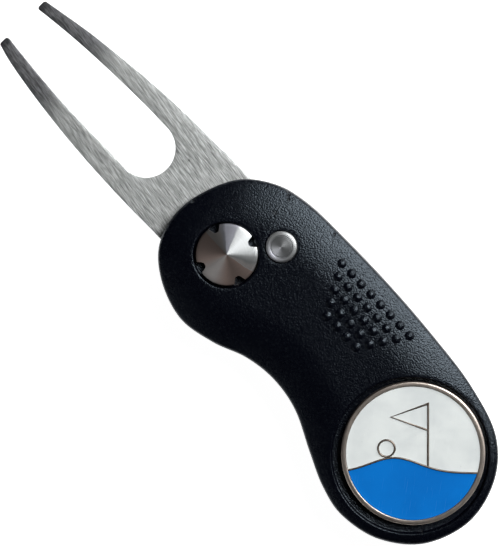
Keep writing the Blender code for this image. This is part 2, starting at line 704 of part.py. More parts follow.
def make_pivot(frame, look):
    edge = SMALL_CHAMFER
    profile = [
        (0.0, SCREW_TOP),
        (PIVOT_SCREW_RADIUS + FIT, SCREW_TOP),
        (PIVOT_SCREW_RADIUS + FIT, WEB_TOP + FIT),
        (BARREL_RADIUS, WEB_TOP + FIT),
        (BARREL_RADIUS, HEAD_UNDERSIDE),
        (PIVOT_HEAD_RADIUS, HEAD_UNDERSIDE),
        (PIVOT_HEAD_RADIUS, HEAD_RIM_TOP - edge),
        (PIVOT_HEAD_RADIUS - edge, HEAD_RIM_TOP),
        (0.0, HEAD_RIM_TOP + PIVOT_CONE_RISE),
    ]
    cap = add_object("pivot_cap", lathe("pivot_cap", profile, 48), frame, look=look)
    centre = PIVOT_HEAD_RADIUS - NOTCH_DEPTH + NOTCH_WIDTH / 2
    slot = arc((centre, 0.0), NOTCH_WIDTH / 2, math.radians(90), math.radians(270), 8)
    out = PIVOT_HEAD_RADIUS + MM
    slot = slot + [(out, -NOTCH_WIDTH / 2), (out, NOTCH_WIDTH / 2)]
    for k in range(4):
        shape = turned_points(slot, NOTCH_ANGLE + k * math.pi / 2)
        cutter = prism("spanner_notch", shape, HEAD_UNDERSIDE - MM, THICKNESS + MM)
        boolean(cap, tool(f"spanner_notch_{k + 1}", cutter, frame))
    return cap


def cross_shape(length, width):
    """Outline of a cross drive."""
    a = length / 2
    b = width / 2
    quarter = [(a, -b), (a, b), (b, b)]
    outline = []
    for k in range(4):
        outline += turned_points(quarter, k * math.pi / 2)
    return outline


def screw_mesh(name, head_radius, head_thickness, shank_radius, low, top, segments):
    """A screw whose head is at the low end."""
    point = shank_radius * SCREW_POINT_SHARE
    profile = [
        (0.0, low),
        (head_radius - SMALL_CHAMFER, low),
        (head_radius, low + SMALL_CHAMFER),
        (head_radius, low + head_thickness),
        (shank_radius, low + head_thickness),
        (shank_radius, top - point),
        (0.0, top),
    ]
    return lathe(name, profile, segments)


def make_screws(frame, look):
    low = HEAD_RECESS
    pivot = screw_mesh(
        "pivot_screw", PIVOT_SCREW_HEAD_RADIUS, PIVOT_SCREW_HEAD_THICKNESS, PIVOT_SCREW_RADIUS,
        low, SCREW_TOP - PIVOT_SCREW_SHORTER, 28,
    )
    pivot = add_object("pivot_screw", pivot, frame, look=look)
    length, width, depth = PIVOT_DRIVE
    drive = prism("pivot_drive", cross_shape(length, width), -MM, low + depth)
    boolean(pivot, tool("pivot_drive", drive, frame))
    shared = screw_mesh(
        "cover_screw", SCREW_HEAD_RADIUS, SCREW_HEAD_THICKNESS, SCREW_RADIUS, low, SCREW_TOP, 16,
    )
    shared.materials.append(look)
    length, width, depth = COVER_DRIVE
    for k, place in enumerate(millimetres(COVER_SCREWS)):
        screw = add_object(f"cover_screw_{k + 1}", shared, frame, (*place, 0.0))
        drive = prism("screw_drive", cross_shape(length, width), -MM, low + depth)
        boolean(screw, tool(f"screw_drive_{k + 1}", drive, frame, (*place, 0.0)))


def make_washers(frame, look):
    low = FORK_BOTTOM - FIT - WASHER_THICKNESS
    rear = ring_mesh(
        "rear_washer", REAR_WASHER_INNER_RADIUS, WASHER_OUTER_RADIUS, low, low + WASHER_THICKNESS, 36,
    )
    add_object("rear_washer", rear, frame, look=look)
    low = FORK_TOP + FIT
    inner = BARREL_RADIUS + RUNNING_FIT
    front = ring_mesh("front_washer", inner, WASHER_OUTER_RADIUS, low, low + WASHER_THICKNESS, 36)
    add_object("front_washer", front, frame, look=look)


def wire_curve(name, points, diameter, frame, look):
    curve = bpy.data.curves.new(name, "CURVE")
    curve.dimensions = "3D"
    curve.bevel_depth = diameter / 2
    curve.bevel_resolution = 2
    curve.render_resolution_u = 0
    curve.use_fill_caps = True
    spline = curve.splines.new("POLY")
    spline.points.add(len(points) - 1)
    for point, place in zip(spline.points, points):
        point.co = (*place, 1.0)
    return add_object(name, curve, frame, look=look)


def make_torsion_spring(frame, look):
    """A leg lying in the rear cover, the coil, and a leg standing in the fork's hole."""
    bottom = WEB_TOP + FIT + SPRING_WIRE / 2
    coil = []
    for k in range(round(SPRING_TURNS * SPRING_STEPS) + 1):
        turns = k / SPRING_STEPS
        place = polar(SPRING_RADIUS, SPRING_START + 2 * math.pi * turns)
        coil.append((*place, bottom + SPRING_PITCH * turns))
    start = (*polar(SPRING_RADIUS + SPRING_LEG, SPRING_START), bottom)
    bend = (*polar(SPRING_RADIUS + SPRING_BEND, SPRING_START), bottom)
    end_place = polar(SPRING_RADIUS, spring_leg_angle())
    top = (*end_place, FORK_TOP - SPRING_LEG_DEPTH)
    return wire_curve("torsion_spring", [start, bend] + coil + [top], SPRING_WIRE, frame, look)


def make_lock(frame, leaf_look, screw_look):
    """Leaf spring under the button's stem, with the tooth that stands in the tang's notch."""
    tooth_start = TANG_RADIUS - TOOTH_LENGTH
    end = BUTTON_ORBIT + LEAF_END_OFFSET
    leaf = leaf_box(tooth_start - FIT, end, LEAF_WIDTH, LEAF_TOP - LEAF_THICKNESS, LEAF_TOP)
    leaf = add_object("lock_spring", leaf, frame, look=leaf_look)
    tooth_top = FORK_BOTTOM + TOOTH_ENGAGEMENT
    tooth = leaf_box(tooth_start, TANG_RADIUS, TOOTH_WIDTH, LEAF_TOP - LEAF_THICKNESS / 2, tooth_top)
    boolean(leaf, tool("lock_tooth", tooth, frame), "UNION")
    place = polar(BUTTON_ORBIT + LOCK_SCREW_OFFSET, BUTTON_ANGLE)
    hole = circle(place, LOCK_SCREW_RADIUS + FIT, 14)
    hole = prism("leaf_hole", hole, LEAF_TOP - MM, LEAF_TOP + MM)
    boolean(leaf, tool("leaf_hole", hole, frame))

    low = LEAF_POCKET_FLOOR + FIT
    head_low = LEAF_TOP + FIT / 2
    head_high = head_low + LOCK_SCREW_HEAD_THICKNESS
    profile = [
        (0.0, low),
        (LOCK_SCREW_RADIUS, low + SMALL_CHAMFER),
        (LOCK_SCREW_RADIUS, head_low),
        (LOCK_SCREW_HEAD_RADIUS, head_low),
        (LOCK_SCREW_HEAD_RADIUS, head_high - SMALL_CHAMFER),
        (LOCK_SCREW_HEAD_RADIUS - SMALL_CHAMFER, head_high),
        (0.0, head_high),
    ]
    screw = lathe("lock_screw", profile, 14)
    screw = add_object("lock_screw", screw, frame, (*place, 0.0), screw_look)
    length, width, depth = LOCK_DRIVE
    drive = prism("lock_drive", cross_shape(length, width), head_high - depth, head_high + MM)
    boolean(screw, tool("lock_drive", drive, frame, (*place, 0.0)))


def make_stop_pin(frame, look):
    low = REAR_DECK - STOP_PIN_SEAT
    high = SLOT_TOP + STOP_PIN_SEAT
    profile = [
        (0.0, low),
        (STOP_PIN_RADIUS - SMALL_CHAMFER, low),
        (STOP_PIN_RADIUS, low + SMALL_CHAMFER),
        (STOP_PIN_RADIUS, high - SMALL_CHAMFER),
        (STOP_PIN_RADIUS - SMALL_CHAMFER, high),
        (0.0, high),
    ]
    add_object("stop_pin", lathe("stop_pin", profile, 16), frame, (*STOP_PIN_CENTRE, 0.0), look)


def make_button(frame, look):
    """Dished top with a ring groove, barrel, flange under the cover, and a stem down to the leaf."""
    low = LEAF_TOP + STEM_TO_LEAF
    edge = BUTTON_EDGE
    profile = [
        (0.0, low),
        (BUTTON_STEM_RADIUS - SMALL_CHAMFER, low),
        (BUTTON_STEM_RADIUS, low + SMALL_CHAMFER),
        (BUTTON_STEM_RADIUS, FLANGE_BOTTOM),
        (FLANGE_RADIUS, FLANGE_BOTTOM),
        (FLANGE_RADIUS, FLANGE_TOP),
        (BUTTON_RADIUS, FLANGE_TOP),
        (BUTTON_RADIUS, BUTTON_TOP - edge),
        (BUTTON_RADIUS - ROUNDING_SHARE * edge, BUTTON_TOP - ROUNDING_SHARE * edge),
        (BUTTON_RADIUS - edge, BUTTON_TOP),
    ]
    profile += [(radius, BUTTON_TOP - drop) for radius, drop in BUTTON_DISH]
    button = lathe("release_button", profile, 36)
    add_object("release_button", button, frame, (*BUTTON_CENTRE, 0.0), look)


# ---- ball marker ------------------------------------------------------------------------------

def hill_height(x):
    """The hill's skyline in the marker's own frame, x to the right and y up."""
    return HILL_LEVEL + HILL_RISE * math.exp(-((x - HILL_CENTRE_X) / HILL_WIDTH) ** 2)


def skyline_end(radius, offset, side):
    """Where the hill's line, raised by an offset, meets a circle on one side."""
    inside = 0.0
    outside = side * radius
    for _ in range(SKYLINE_HALVINGS):
        x = (inside + outside) / 2
        if math.hypot(x, hill_height(x) + offset) < radius:
            inside = x
        else:
            outside = x
    return inside


def field_loop(above, clearance):
    """The part of the round field above or below the hill's line, drawn in by a clearance."""
    radius = FIELD_RADIUS - clearance
    offset = (ART_LINE / 2 + clearance) * (1.0 if above else -1.0)
    left = skyline_end(radius, offset, -1.0)
    right = skyline_end(radius, offset, 1.0)
    skyline = []
    for k in range(SKYLINE_STEPS + 1):
        x = left + (right - left) * k / SKYLINE_STEPS
        skyline.append((x, hill_height(x) + offset))
    start = math.atan2(skyline[-1][1], skyline[-1][0])
    end = math.atan2(skyline[0][1], skyline[0][0])
    if above:
        return skyline + arc((0.0, 0.0), radius, start, end + 2 * math.pi, 40)[1:-1]
    return list(reversed(skyline)) + arc((0.0, 0.0), radius, end, start, 24)[1:-1]


def ball_centre():
    return (BALL_X, hill_height(BALL_X) + ART_LINE / 2 + BALL_RADIUS + BALL_OVER_HILL)


def on_marker(points):
    return turned_points(points, ART_TURN)


def pennant_outline(grow):
    """Flag on the left of the pole: counter-clockwise, moved out by grow."""
    top = (POLE_X, POLE_TOP + grow)
    tip = (POLE_X - FLAG_LENGTH - FLAG_TIP_STRETCH * grow, POLE_TOP - FLAG_HEIGHT / 2)
    bottom = (POLE_X, POLE_TOP - FLAG_HEIGHT - grow)
    return [top, tip, bottom]


def pennant_field(clearance):
    """The flag's enamel, clear of the pole and of its own raised edge."""
    right = POLE_X - ART_LINE / 2 - clearance
    slope = FLAG_HEIGHT / 2 / FLAG_LENGTH
    drop = (ART_LINE / 2 + clearance) * slope + clearance
    tip = POLE_X - FLAG_LENGTH + FLAG_TIP_STRETCH * clearance
    middle = POLE_TOP - FLAG_HEIGHT / 2
    return [(right, POLE_TOP - drop), (tip, middle), (right, POLE_TOP - FLAG_HEIGHT + drop)]


def cut_sky(target, clearance, low, high, frame, tag):
    """Take the pole, the flag and the ball with their raised lines out of the sky field."""
    place = (*MARKER_CENTRE, 0.0)
    half = ART_LINE / 2 + clearance
    left = POLE_X - half
    right = POLE_X + half
    foot = HILL_LEVEL - MM
    top = POLE_TOP + half
    shapes = {
        "pole": [(left, foot), (right, foot), (right, top), (left, top)],
        "pennant": pennant_outline(ART_LINE + clearance),
        "ball": circle(ball_centre(), BALL_RADIUS + ART_LINE + clearance, 20),
    }
    for key, shape in shapes.items():
        cutter = prism(key, on_marker(shape), low - MM, high + MM)
        boolean(target, tool(f"{tag}_{key}", cutter, frame, place))


def make_marker(frame, steel, white, blue):
    place = (*MARKER_CENTRE, 0.0)
    edge = MARKER_EDGE_RADIUS
    face = MARKER_TOP - MARKER_LINE_DROP
    profile = [
        (0.0, MARKER_BOTTOM),
        (MARKER_RADIUS - edge, MARKER_BOTTOM),
        (MARKER_RADIUS, MARKER_BOTTOM + edge),
        (MARKER_RADIUS, MARKER_TOP - edge),
        (MARKER_RADIUS - ROUNDING_SHARE * edge, MARKER_TOP - ROUNDING_SHARE * edge),
        (MARKER_RADIUS - edge, MARKER_TOP),
        (FIELD_RADIUS, MARKER_TOP),
        (FIELD_RADIUS - HAIR, face),
        (0.0, face),
    ]
    base = add_object("marker_base", lathe("marker_base", profile, 64), frame, place, steel)
    floor = MARKER_TOP - MARKER_FIELD_DEPTH
    above = MARKER_TOP + MM
    sky = prism("sky_room", on_marker(field_loop(True, HAIR)), floor, above)
    sky = tool("sky_room", sky, frame, place)
    cut_sky(sky, 0.0, floor, above, frame, "room")
    boolean(base, sky)
    rooms = {
        "hill_room": field_loop(False, HAIR),
        "flag_room": pennant_field(0.0),
        "ball_room": circle(ball_centre(), BALL_RADIUS, 20),
    }
    for name, shape in rooms.items():
        boolean(base, tool(name, prism(name, on_marker(shape), floor, above), frame, place))

    low = floor + FIT / 2
    high = face - HAIR
    sky = prism("enamel_sky", on_marker(field_loop(True, FIT)), low, high)
    sky = add_object("enamel_sky", sky, frame, place, white)
    cut_sky(sky, FIT, low, high, frame, "sky")
    fields = {
        "enamel_hill": (field_loop(False, FIT), blue),
        "enamel_flag": (pennant_field(FIT), white),
        "enamel_ball": (circle(ball_centre(), BALL_RADIUS - FIT, 20), white),
    }
    for name, (shape, look) in fields.items():
        add_object(name, prism(name, on_marker(shape), low, high), frame, place, look)


def make_magnet(frame, look):
    top = POCKET_FLOOR - FIT / 2
    low = top - MAGNET_THICKNESS
    edge = SMALL_CHAMFER
    profile = [
        (0.0, low),
        (MAGNET_RADIUS - edge, low),
        (MAGNET_RADIUS, low + edge),
        (MAGNET_RADIUS, top - edge),
        (MAGNET_RADIUS - edge, top),
        (0.0, top),
    ]
    magnet = lathe("marker_magnet", profile, 32)
    add_object("marker_magnet", magnet, frame, (*POCKET_CENTRE, 0.0), look)


def make_frame():
    """The empty that centres the open tool's footprint on the world's Z axis."""
    loop = cover_outline()
    low_x = FORK_TIP_X
    high_x = max(x for x, y in loop)
    low_y = min(y for x, y in loop)
    high_y = max(y for x, y in loop)
    frame = bpy.data.objects.new("tool_frame", None)
    bpy.context.scene.collection.objects.link(frame)
    frame.location = (-(low_x + high_x) / 2, -(low_y + high_y) / 2, 0.0)
    return frame


def build():
    clear_scene()
    plastic = material("black_plastic", (0.012, 0.013, 0.016), 0.55, 0.0)
    steel = material("brushed_steel", (0.58, 0.58, 0.57), 0.35, 1.0)
    turned = material("turned_steel", (0.68, 0.67, 0.66), 0.25, 1.0)
    dark = material("spring_steel", (0.2, 0.2, 0.21), 0.4, 1.0)
    zinc = material("zinc_screw", (0.45, 0.46, 0.48), 0.35, 1.0)
    bronze = material("washer_bronze", (0.5, 0.36, 0.2), 0.4, 1.0)
    nickel = material("marker_nickel", (0.42, 0.37, 0.32), 0.3, 1.0)
    white = material("enamel_white", (0.86, 0.86, 0.87), 0.18, 0.0)
    blue = material("enamel_blue", (0.0, 0.16, 0.72), 0.18, 0.0)
    frame = make_frame()
    make_rear_cover(frame, plastic)
    make_front_cover(frame, plastic)
    make_fork(frame, steel)
    make_pivot(frame, turned)
    make_washers(frame, bronze)
    make_torsion_spring(frame, dark)
    make_lock(frame, dark, zinc)
    make_stop_pin(frame, zinc)
    make_button(frame, turned)
    make_screws(frame, zinc)
    make_magnet(frame, zinc)
    make_marker(frame, nickel, white, blue)


build()
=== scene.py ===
"""Folding divot repair tool on a plain pale floor, in soft studio light.

Shapes are worked out in millimetres from the fork's pivot at the rear face: +X towards the ball
marker, +Y towards the handle's spine, +Z out of the front face. put() moves them to the frame.
"""
import json
import math

import bmesh
import bpy
import numpy as np
from mathutils import Matrix, Vector
from mathutils.geometry import delaunay_2d_cdt

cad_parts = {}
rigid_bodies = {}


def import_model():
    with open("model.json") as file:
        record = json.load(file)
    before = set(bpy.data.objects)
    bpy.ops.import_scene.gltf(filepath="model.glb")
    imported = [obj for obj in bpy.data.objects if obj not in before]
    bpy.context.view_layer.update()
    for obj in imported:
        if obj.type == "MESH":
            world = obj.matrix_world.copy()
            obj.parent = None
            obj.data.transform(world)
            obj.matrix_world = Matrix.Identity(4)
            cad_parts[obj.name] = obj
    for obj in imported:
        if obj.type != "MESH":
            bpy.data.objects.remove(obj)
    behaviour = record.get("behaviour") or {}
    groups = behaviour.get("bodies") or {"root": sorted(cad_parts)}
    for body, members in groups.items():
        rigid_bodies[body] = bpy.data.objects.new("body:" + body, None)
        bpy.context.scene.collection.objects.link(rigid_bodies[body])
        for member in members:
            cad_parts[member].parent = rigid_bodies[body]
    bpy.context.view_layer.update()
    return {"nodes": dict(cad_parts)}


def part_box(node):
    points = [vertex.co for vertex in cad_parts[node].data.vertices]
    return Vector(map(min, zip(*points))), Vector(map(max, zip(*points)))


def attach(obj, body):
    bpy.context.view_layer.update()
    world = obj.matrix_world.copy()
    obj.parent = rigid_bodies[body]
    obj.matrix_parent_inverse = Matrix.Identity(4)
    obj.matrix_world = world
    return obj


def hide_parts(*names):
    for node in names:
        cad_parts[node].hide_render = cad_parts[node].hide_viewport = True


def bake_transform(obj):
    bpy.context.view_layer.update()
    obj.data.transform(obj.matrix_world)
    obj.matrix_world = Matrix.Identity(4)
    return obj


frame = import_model()

MM = 0.001
cap_low, cap_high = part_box("pivot_cap")
PIVOT = (cap_low + cap_high) / 2
PIVOT.z = 0.0

# sizes in millimetres, as the solids have them
THICKNESS = 12.0
REAR_DECK = 5.0
SLOT_TOP = 7.9
PARTING = 6.2
PARTING_HALF_GAP = 0.1
OUTLINE = [
    (-11.4, 0.6), (-9.75, -6.85), (-4.75, -11.4), (2.45, -13.65), (9.4, -12.35), (15.4, -9.9),
    (21.5, -9.0), (27.9, -9.95), (34.85, -13.05), (40.9, -15.55), (46.9, -16.55), (54.2, -14.7),
    (60.3, -9.3), (62.75, -1.0), (60.4, 7.1), (54.8, 12.6), (46.0, 15.25), (36.0, 16.3),
    (24.0, 16.85), (12.0, 16.75), (3.0, 16.2), (-3.5, 14.2), (-8.7, 9.5),
]
CROWN_WIDTH = 9.0
CROWN_DROP = 1.5
FRONT_EDGE_RADIUS = 0.8
REAR_EDGE_RADIUS = 1.4
PIVOT_POCKET = ((0.0, -0.17), 5.7, 10.4)
BUTTON_CENTRE = (5.5, 7.84)
BUTTON_HOLE_RADIUS = 2.85
MARKER_CENTRE = (47.2, 0.0)
MARKER_POCKET = ((47.2, -0.6), 13.65, 9.8)
COVER_SCREWS = [(15.5, 13.9), (36.5, 13.6), (56.2, -7.3), (56.0, 8.0)]
BUTTON_ORBIT = math.hypot(*BUTTON_CENTRE)
BUTTON_ANGLE = math.atan2(BUTTON_CENTRE[1], BUTTON_CENTRE[0])
FORK_BOTTOM = 5.5
FORK_TOP = 7.4
FORK_TRAVEL = math.radians(186.0)
TANG_RADIUS = 7.6
PIVOT_BORE = 2.55
BARREL_RADIUS = 2.4
CAP_RADIUS = 5.4
CAP_RIM = 11.8
CAP_BOTTOM = 2.25
BUTTON_RADIUS = 2.7
BUTTON_TOP = 12.6
STOP_PIN_SEAT = ((0.01, 10.6), 1.1)
LEAF_BOTTOM = 3.4
LEAF_TOP = 3.8
LEAF_HOLE_ORBIT = BUTTON_ORBIT + 5.6
LEAF_HOLE_RADIUS = 0.85
LEAF_POCKET_START = 6.0
LEAF_POCKET_WIDTH = 4.0
COVER_SCREW_HOLE = 1.0
# round seats as (radius, height of the floor or roof)
BUTTON_FLANGE_SEAT = (3.45, 10.0)
MAGNET_SEAT = (5.1, 8.45)
SPRING_SEAT = (4.15, 2.15)
BARREL_SCREW_SEAT = (3.15, 1.25)
COVER_SCREW_SEAT = (1.85, 1.45)
MARKER_RADIUS = 12.5
MARKER_BOTTOM = 9.9
MARKER_TOP = 11.55
SPRING_BOTTOM = 2.6
SPRING_START = math.radians(-60.0)
SPRING_TURNS = 2.25
SPRING_RADIUS = 3.5
ART_TURN = math.radians(46.9)
FIELD_RADIUS = 11.65
FIELD_FLOOR = 11.15


# ---- plane geometry ---------------------------------------------------------------------------

def circle(centre, radius, steps, turn=0.0):
    angles = turn + np.arange(steps) * 2 * math.pi / steps
    return np.stack([centre[0] + radius * np.cos(angles), centre[1] + radius * np.sin(angles)], 1)


def arc(centre, radius, start, end, steps):
    angles = np.linspace(start, end, steps + 1)
    return np.stack([centre[0] + radius * np.cos(angles), centre[1] + radius * np.sin(angles)], 1)


def span(before, start, end, after, t):
    """One stretch of a Catmull-Rom curve."""
    return 0.5 * (
        2 * start
        + (end - before) * t
        + (2 * before - 5 * start + 4 * end - after) * t ** 2
        + (3 * start - before - 3 * end + after) * t ** 3
    )


def smooth_loop(points, steps):
    """A closed smooth curve through the points."""
    p = np.array(points, float)
    t = np.arange(steps)[:, None] / steps
    count = len(p)
    return np.concatenate([
        span(p[k - 1], p[k], p[(k + 1) % count], p[(k + 2) % count], t) for k in range(count)
    ])


def smooth_run(points, steps):
    """An open smooth curve through the points, ends included."""
    p = np.array([points[0], *points, points[-1]], float)
    t = np.arange(steps)[:, None] / steps
    runs = [span(p[k - 1], p[k], p[k + 1], p[k + 2], t) for k in range(1, len(p) - 2)]
    return np.concatenate([*runs, p[-1:]])


def inset(loop, distance):
    """A counter-clockwise loop moved inwards along its normals."""
    along = np.roll(loop, -1, 0) - np.roll(loop, 1, 0)
    along /= np.linalg.norm(along, axis=1, keepdims=True)
    return loop + distance * np.stack([-along[:, 1], along[:, 0]], 1)


def turned(points, angle, centre=(0.0, 0.0)):
    """Points turned about the origin, then moved to a centre."""
    c, s = math.cos(angle), math.sin(angle)
    p = np.asarray(points, float)
    return np.stack([centre[0] + p[:, 0] * c - p[:, 1] * s, centre[1] + p[:, 0] * s + p[:, 1] * c], 1)


def distance_to(points, loop):
    """Shortest distance from each point to a closed loop."""
    a = loop[None]
    d = np.roll(loop, -1, 0)[None] - a
    q = points[:, None] - a
    t = np.clip((q * d).sum(2) / (d * d).sum(2), 0, 1)
    return np.linalg.norm(q - t[..., None] * d, axis=2).min(1)


def inside(points, loop):
    """Which points a closed loop holds."""
    x, y = points[:, :1], points[:, 1:]
    ax, ay = loop[:, 0][None], loop[:, 1][None]
    bx, by = np.roll(loop[:, 0], -1)[None], np.roll(loop[:, 1], -1)[None]
    crosses = (ay > y) != (by > y)
    with np.errstate(divide="ignore", invalid="ignore"):
        hit = ax + (y - ay) * (bx - ax) / (by - ay)
    return ((crosses & (x < hit)).sum(1) % 2) == 1


def grid_inside(outer, holes, pitch):
    """A triangular grid of points that keeps off every edge of a region."""
    low, high = outer.min(0), outer.max(0)
    rows = np.arange(low[1], high[1], pitch * math.sqrt(3) / 2)
    columns = np.arange(low[0], high[0], pitch)
    x, y = np.meshgrid(columns, rows)
    x = x + (np.arange(len(rows)) % 2)[:, None] * pitch / 2
    points = np.stack([x.ravel(), y.ravel()], 1)
    points = points[inside(points, outer)]
    points = points[distance_to(points, outer) > 0.6 * pitch]
    for hole in holes:
        points = points[~inside(points, hole)]
        points = points[distance_to(points, hole) > 0.6 * pitch]
    return points


# ---- meshes -----------------------------------------------------------------------------------

def put(points):
    """Millimetres from the pivot to metres in the frame."""
    return np.asarray(points, float) * MM + np.array(PIVOT)


class Shell:
    """Points and faces of one piece."""

    def __init__(self):
        self.points = []
        self.faces = []

    def ring(self, loop, height):
        """A row of points over a loop, at one height or one for each point."""
        heights = np.broadcast_to(height, len(loop))
        start = len(self.points)
        self.points += [(x, y, z) for (x, y), z in zip(loop, heights)]
        return list(range(start, len(self.points)))

    def strip(self, low, high):
        """Faces between two closed rows of equally many points."""
        count = len(low)
        for k in range(count):
            after = (k + 1) % count
            self.faces.append((low[k], low[after], high[after], high[k]))

    def rows(self, loops, heights):
        """Rows of points one after the other, joined by strips; gives the first and the last."""
        made = [self.ring(loop, height) for loop, height in zip(loops, heights)]
        for low, high in zip(made, made[1:]):
            self.strip(low, high)
        return made[0], made[-1]

    def fan(self, ring, height, up=True):
        """Close a round row at its middle."""
        middle = np.mean([self.points[k][:2] for k in ring], 0)
        tip = self.ring(middle[None], height)[0]
        for k, first in enumerate(ring):
            second = ring[(k + 1) % len(ring)]
            self.faces.append((first, second, tip) if up else (second, first, tip))

    def fill(self, outer, holes, pitch, height, up=True):
        """Close the region between rows of points with a surface of a given height."""
        rows = [outer, *holes]
        loops = [np.array([self.points[k][:2] for k in row]) for row in rows]
        extra = grid_inside(loops[0], loops[1:], pitch) if pitch else np.zeros((0, 2))
        indices = [k for row in rows for k in row]
        edges = []
        start = 0
        for row in rows:
            edges += [(start + k, start + (k + 1) % len(row)) for k in range(len(row))]
            start += len(row)
        flat = np.concatenate([*loops, extra])
        if len(extra):
            indices += self.ring(extra, height(extra))
        result = delaunay_2d_cdt([Vector(p) for p in flat], edges, [], 0, 1e-6)
        origin = [source[0] for source in result[3]]
        triangles = np.array([[origin[k] for k in face] for face in result[2]])
        centres = flat[triangles].mean(1)
        keep = inside(centres, loops[0])
        for loop in loops[1:]:
            keep &= ~inside(centres, loop)
        for a, b, c in triangles[keep]:
            face = (indices[a], indices[b], indices[c])
            self.faces.append(face if up else face[::-1])

    def block(self, loops, heights):
        """A closed solid of stacked loops with flat ends."""
        bottom, top = self.rows(loops, heights)
        self.fill(bottom, [], 0, None, up=False)
        self.fill(top, [], 0, None)

    def spin(self, profile, centre, segments):
        """A closed turned solid from (radius, height) pairs that start and end on the axis."""
        rings = [self.ring(circle(centre, r, segments), z) for r, z in profile if r > 0]
        for low, high in zip(rings, rings[1:]):
            self.strip(low, high)
        self.fan(rings[0], profile[0][1], up=False)
        self.fan(rings[-1], profile[-1][1])

    def mesh(self, name, placed=True):
        made = bpy.data.meshes.new(name)
        points = put(self.points) if placed else np.asarray(self.points) * MM
        made.from_pydata(points.tolist(), [], self.faces)
        bm = bmesh.new()
        bm.from_mesh(made)
        bmesh.ops.remove_doubles(bm, verts=bm.verts, dist=1e-7)
        bmesh.ops.recalc_face_normals(bm, faces=bm.faces)
        bm.to_mesh(made)
        bm.free()
        return made


def smoothed(mesh, angle=32.0):
    mesh.shade_smooth()
    mesh.set_sharp_from_angle(angle=math.radians(angle))
    return mesh


def dress(mesh, look):
    mesh.materials.clear()
    mesh.materials.append(look)


def show(name, mesh, look=None):
    made = bpy.data.objects.new(name, mesh)
    bpy.context.scene.collection.objects.link(made)
    if look is not None:
        dress(mesh, look)
    return made


def finished(piece, look):
    """Smooth a carved piece and give it its finish."""
    smoothed(piece.data)
    dress(piece.data, look)
    return piece


def prism(loop, low, high):
    """A closed straight-sided solid over a loop."""
    shell = Shell()
    shell.block([loop, loop], [low, high])
    return shell.mesh("prism")


def evaluated(piece):
    """The plain mesh that a piece's modifiers give."""
    graph = bpy.context.evaluated_depsgraph_get()
    graph.update()
    mesh = bpy.data.meshes.new_from_object(piece.evaluated_get(graph), depsgraph=graph)
    piece.modifiers.clear()
    return mesh


def carve(piece, cutters, operation="DIFFERENCE"):
    """Take the cutters out of a piece, or join them to it."""
    group = bpy.data.collections.new("cutters")
    bpy.context.scene.collection.children.link(group)
    for k, mesh in enumerate(cutters):
        group.objects.link(bpy.data.objects.new(f"cutter_{k}", mesh))
    modifier = piece.modifiers.new("carve", "BOOLEAN")
    modifier.operation = operation
    modifier.operand_type = "COLLECTION"
    modifier.collection = group
    modifier.solver = "EXACT"
    piece.data = evaluated(piece)
    for cutter in list(group.objects):
        bpy.data.objects.remove(cutter)
    bpy.data.collections.remove(group)


def lathe(name, profile, centre, segments):
    """A turned piece about an upright axis."""
    shell = Shell()
    shell.spin(profile, centre, segments)
    return smoothed(shell.mesh(name))


def rounded(corner, start, end, radius, steps=5):
    """Points of a rounded corner between two straight stretches of a profile."""
    corner, start, end = (np.array(p, float) for p in (corner, start, end))
    back = (start - corner) / np.linalg.norm(start - corner)
    on = (end - corner) / np.linalg.norm(end - corner)
    half = math.acos(float(np.clip(back @ on, -1, 1))) / 2
    reach = radius / math.tan(half)
    middle = corner + (back + on) / np.linalg.norm(back + on) * radius / math.sin(half)
    first = corner + back * reach - middle
    last = corner + on * reach - middle
    turn = math.atan2(first[0] * last[1] - first[1] * last[0], first @ last)
    points = []
    for k in range(steps + 1):
        a = turn * k / steps
        c, s = math.cos(a), math.sin(a)
        points.append(tuple(middle + (first[0] * c - first[1] * s, first[0] * s + first[1] * c)))
    return points


# ---- node graphs ------------------------------------------------------------------------------

def pick(sockets, key):
    """A socket by name or by place among those in use."""
    used = [s for s in sockets if s.enabled]
    return used[key] if isinstance(key, int) else next(s for s in used if s.name == key)


class Value:
    """An output socket that takes part in arithmetic."""

    def __init__(self, graph, socket):
        self.graph = graph
        self.socket = socket

    def math(self, operation, *others):
        return self.graph.node("ShaderNodeMath", {"operation": operation}, [self, *others])

    def __add__(self, other):
        return self.math("ADD", other)

    def __mul__(self, other):
        return self.math("MULTIPLY", other)

    def __sub__(self, other):
        return self.math("SUBTRACT", other)

    def __rsub__(self, other):
        return self.graph.node("ShaderNodeMath", {"operation": "SUBTRACT"}, [other, self])

    def __truediv__(self, other):
        return self.math("DIVIDE", other)

    def __pow__(self, other):
        return self.math("POWER", other)

    __radd__ = __add__
    __rmul__ = __mul__

    def between(self, low, high):
        """0 below low, 1 above high, and an even ease in between; low may be the larger."""
        return self.graph.node(
            "ShaderNodeMapRange", {"interpolation_type": "SMOOTHSTEP"},
            {"Value": self, "From Min": low, "From Max": high, "To Min": 0.0, "To Max": 1.0},
        )


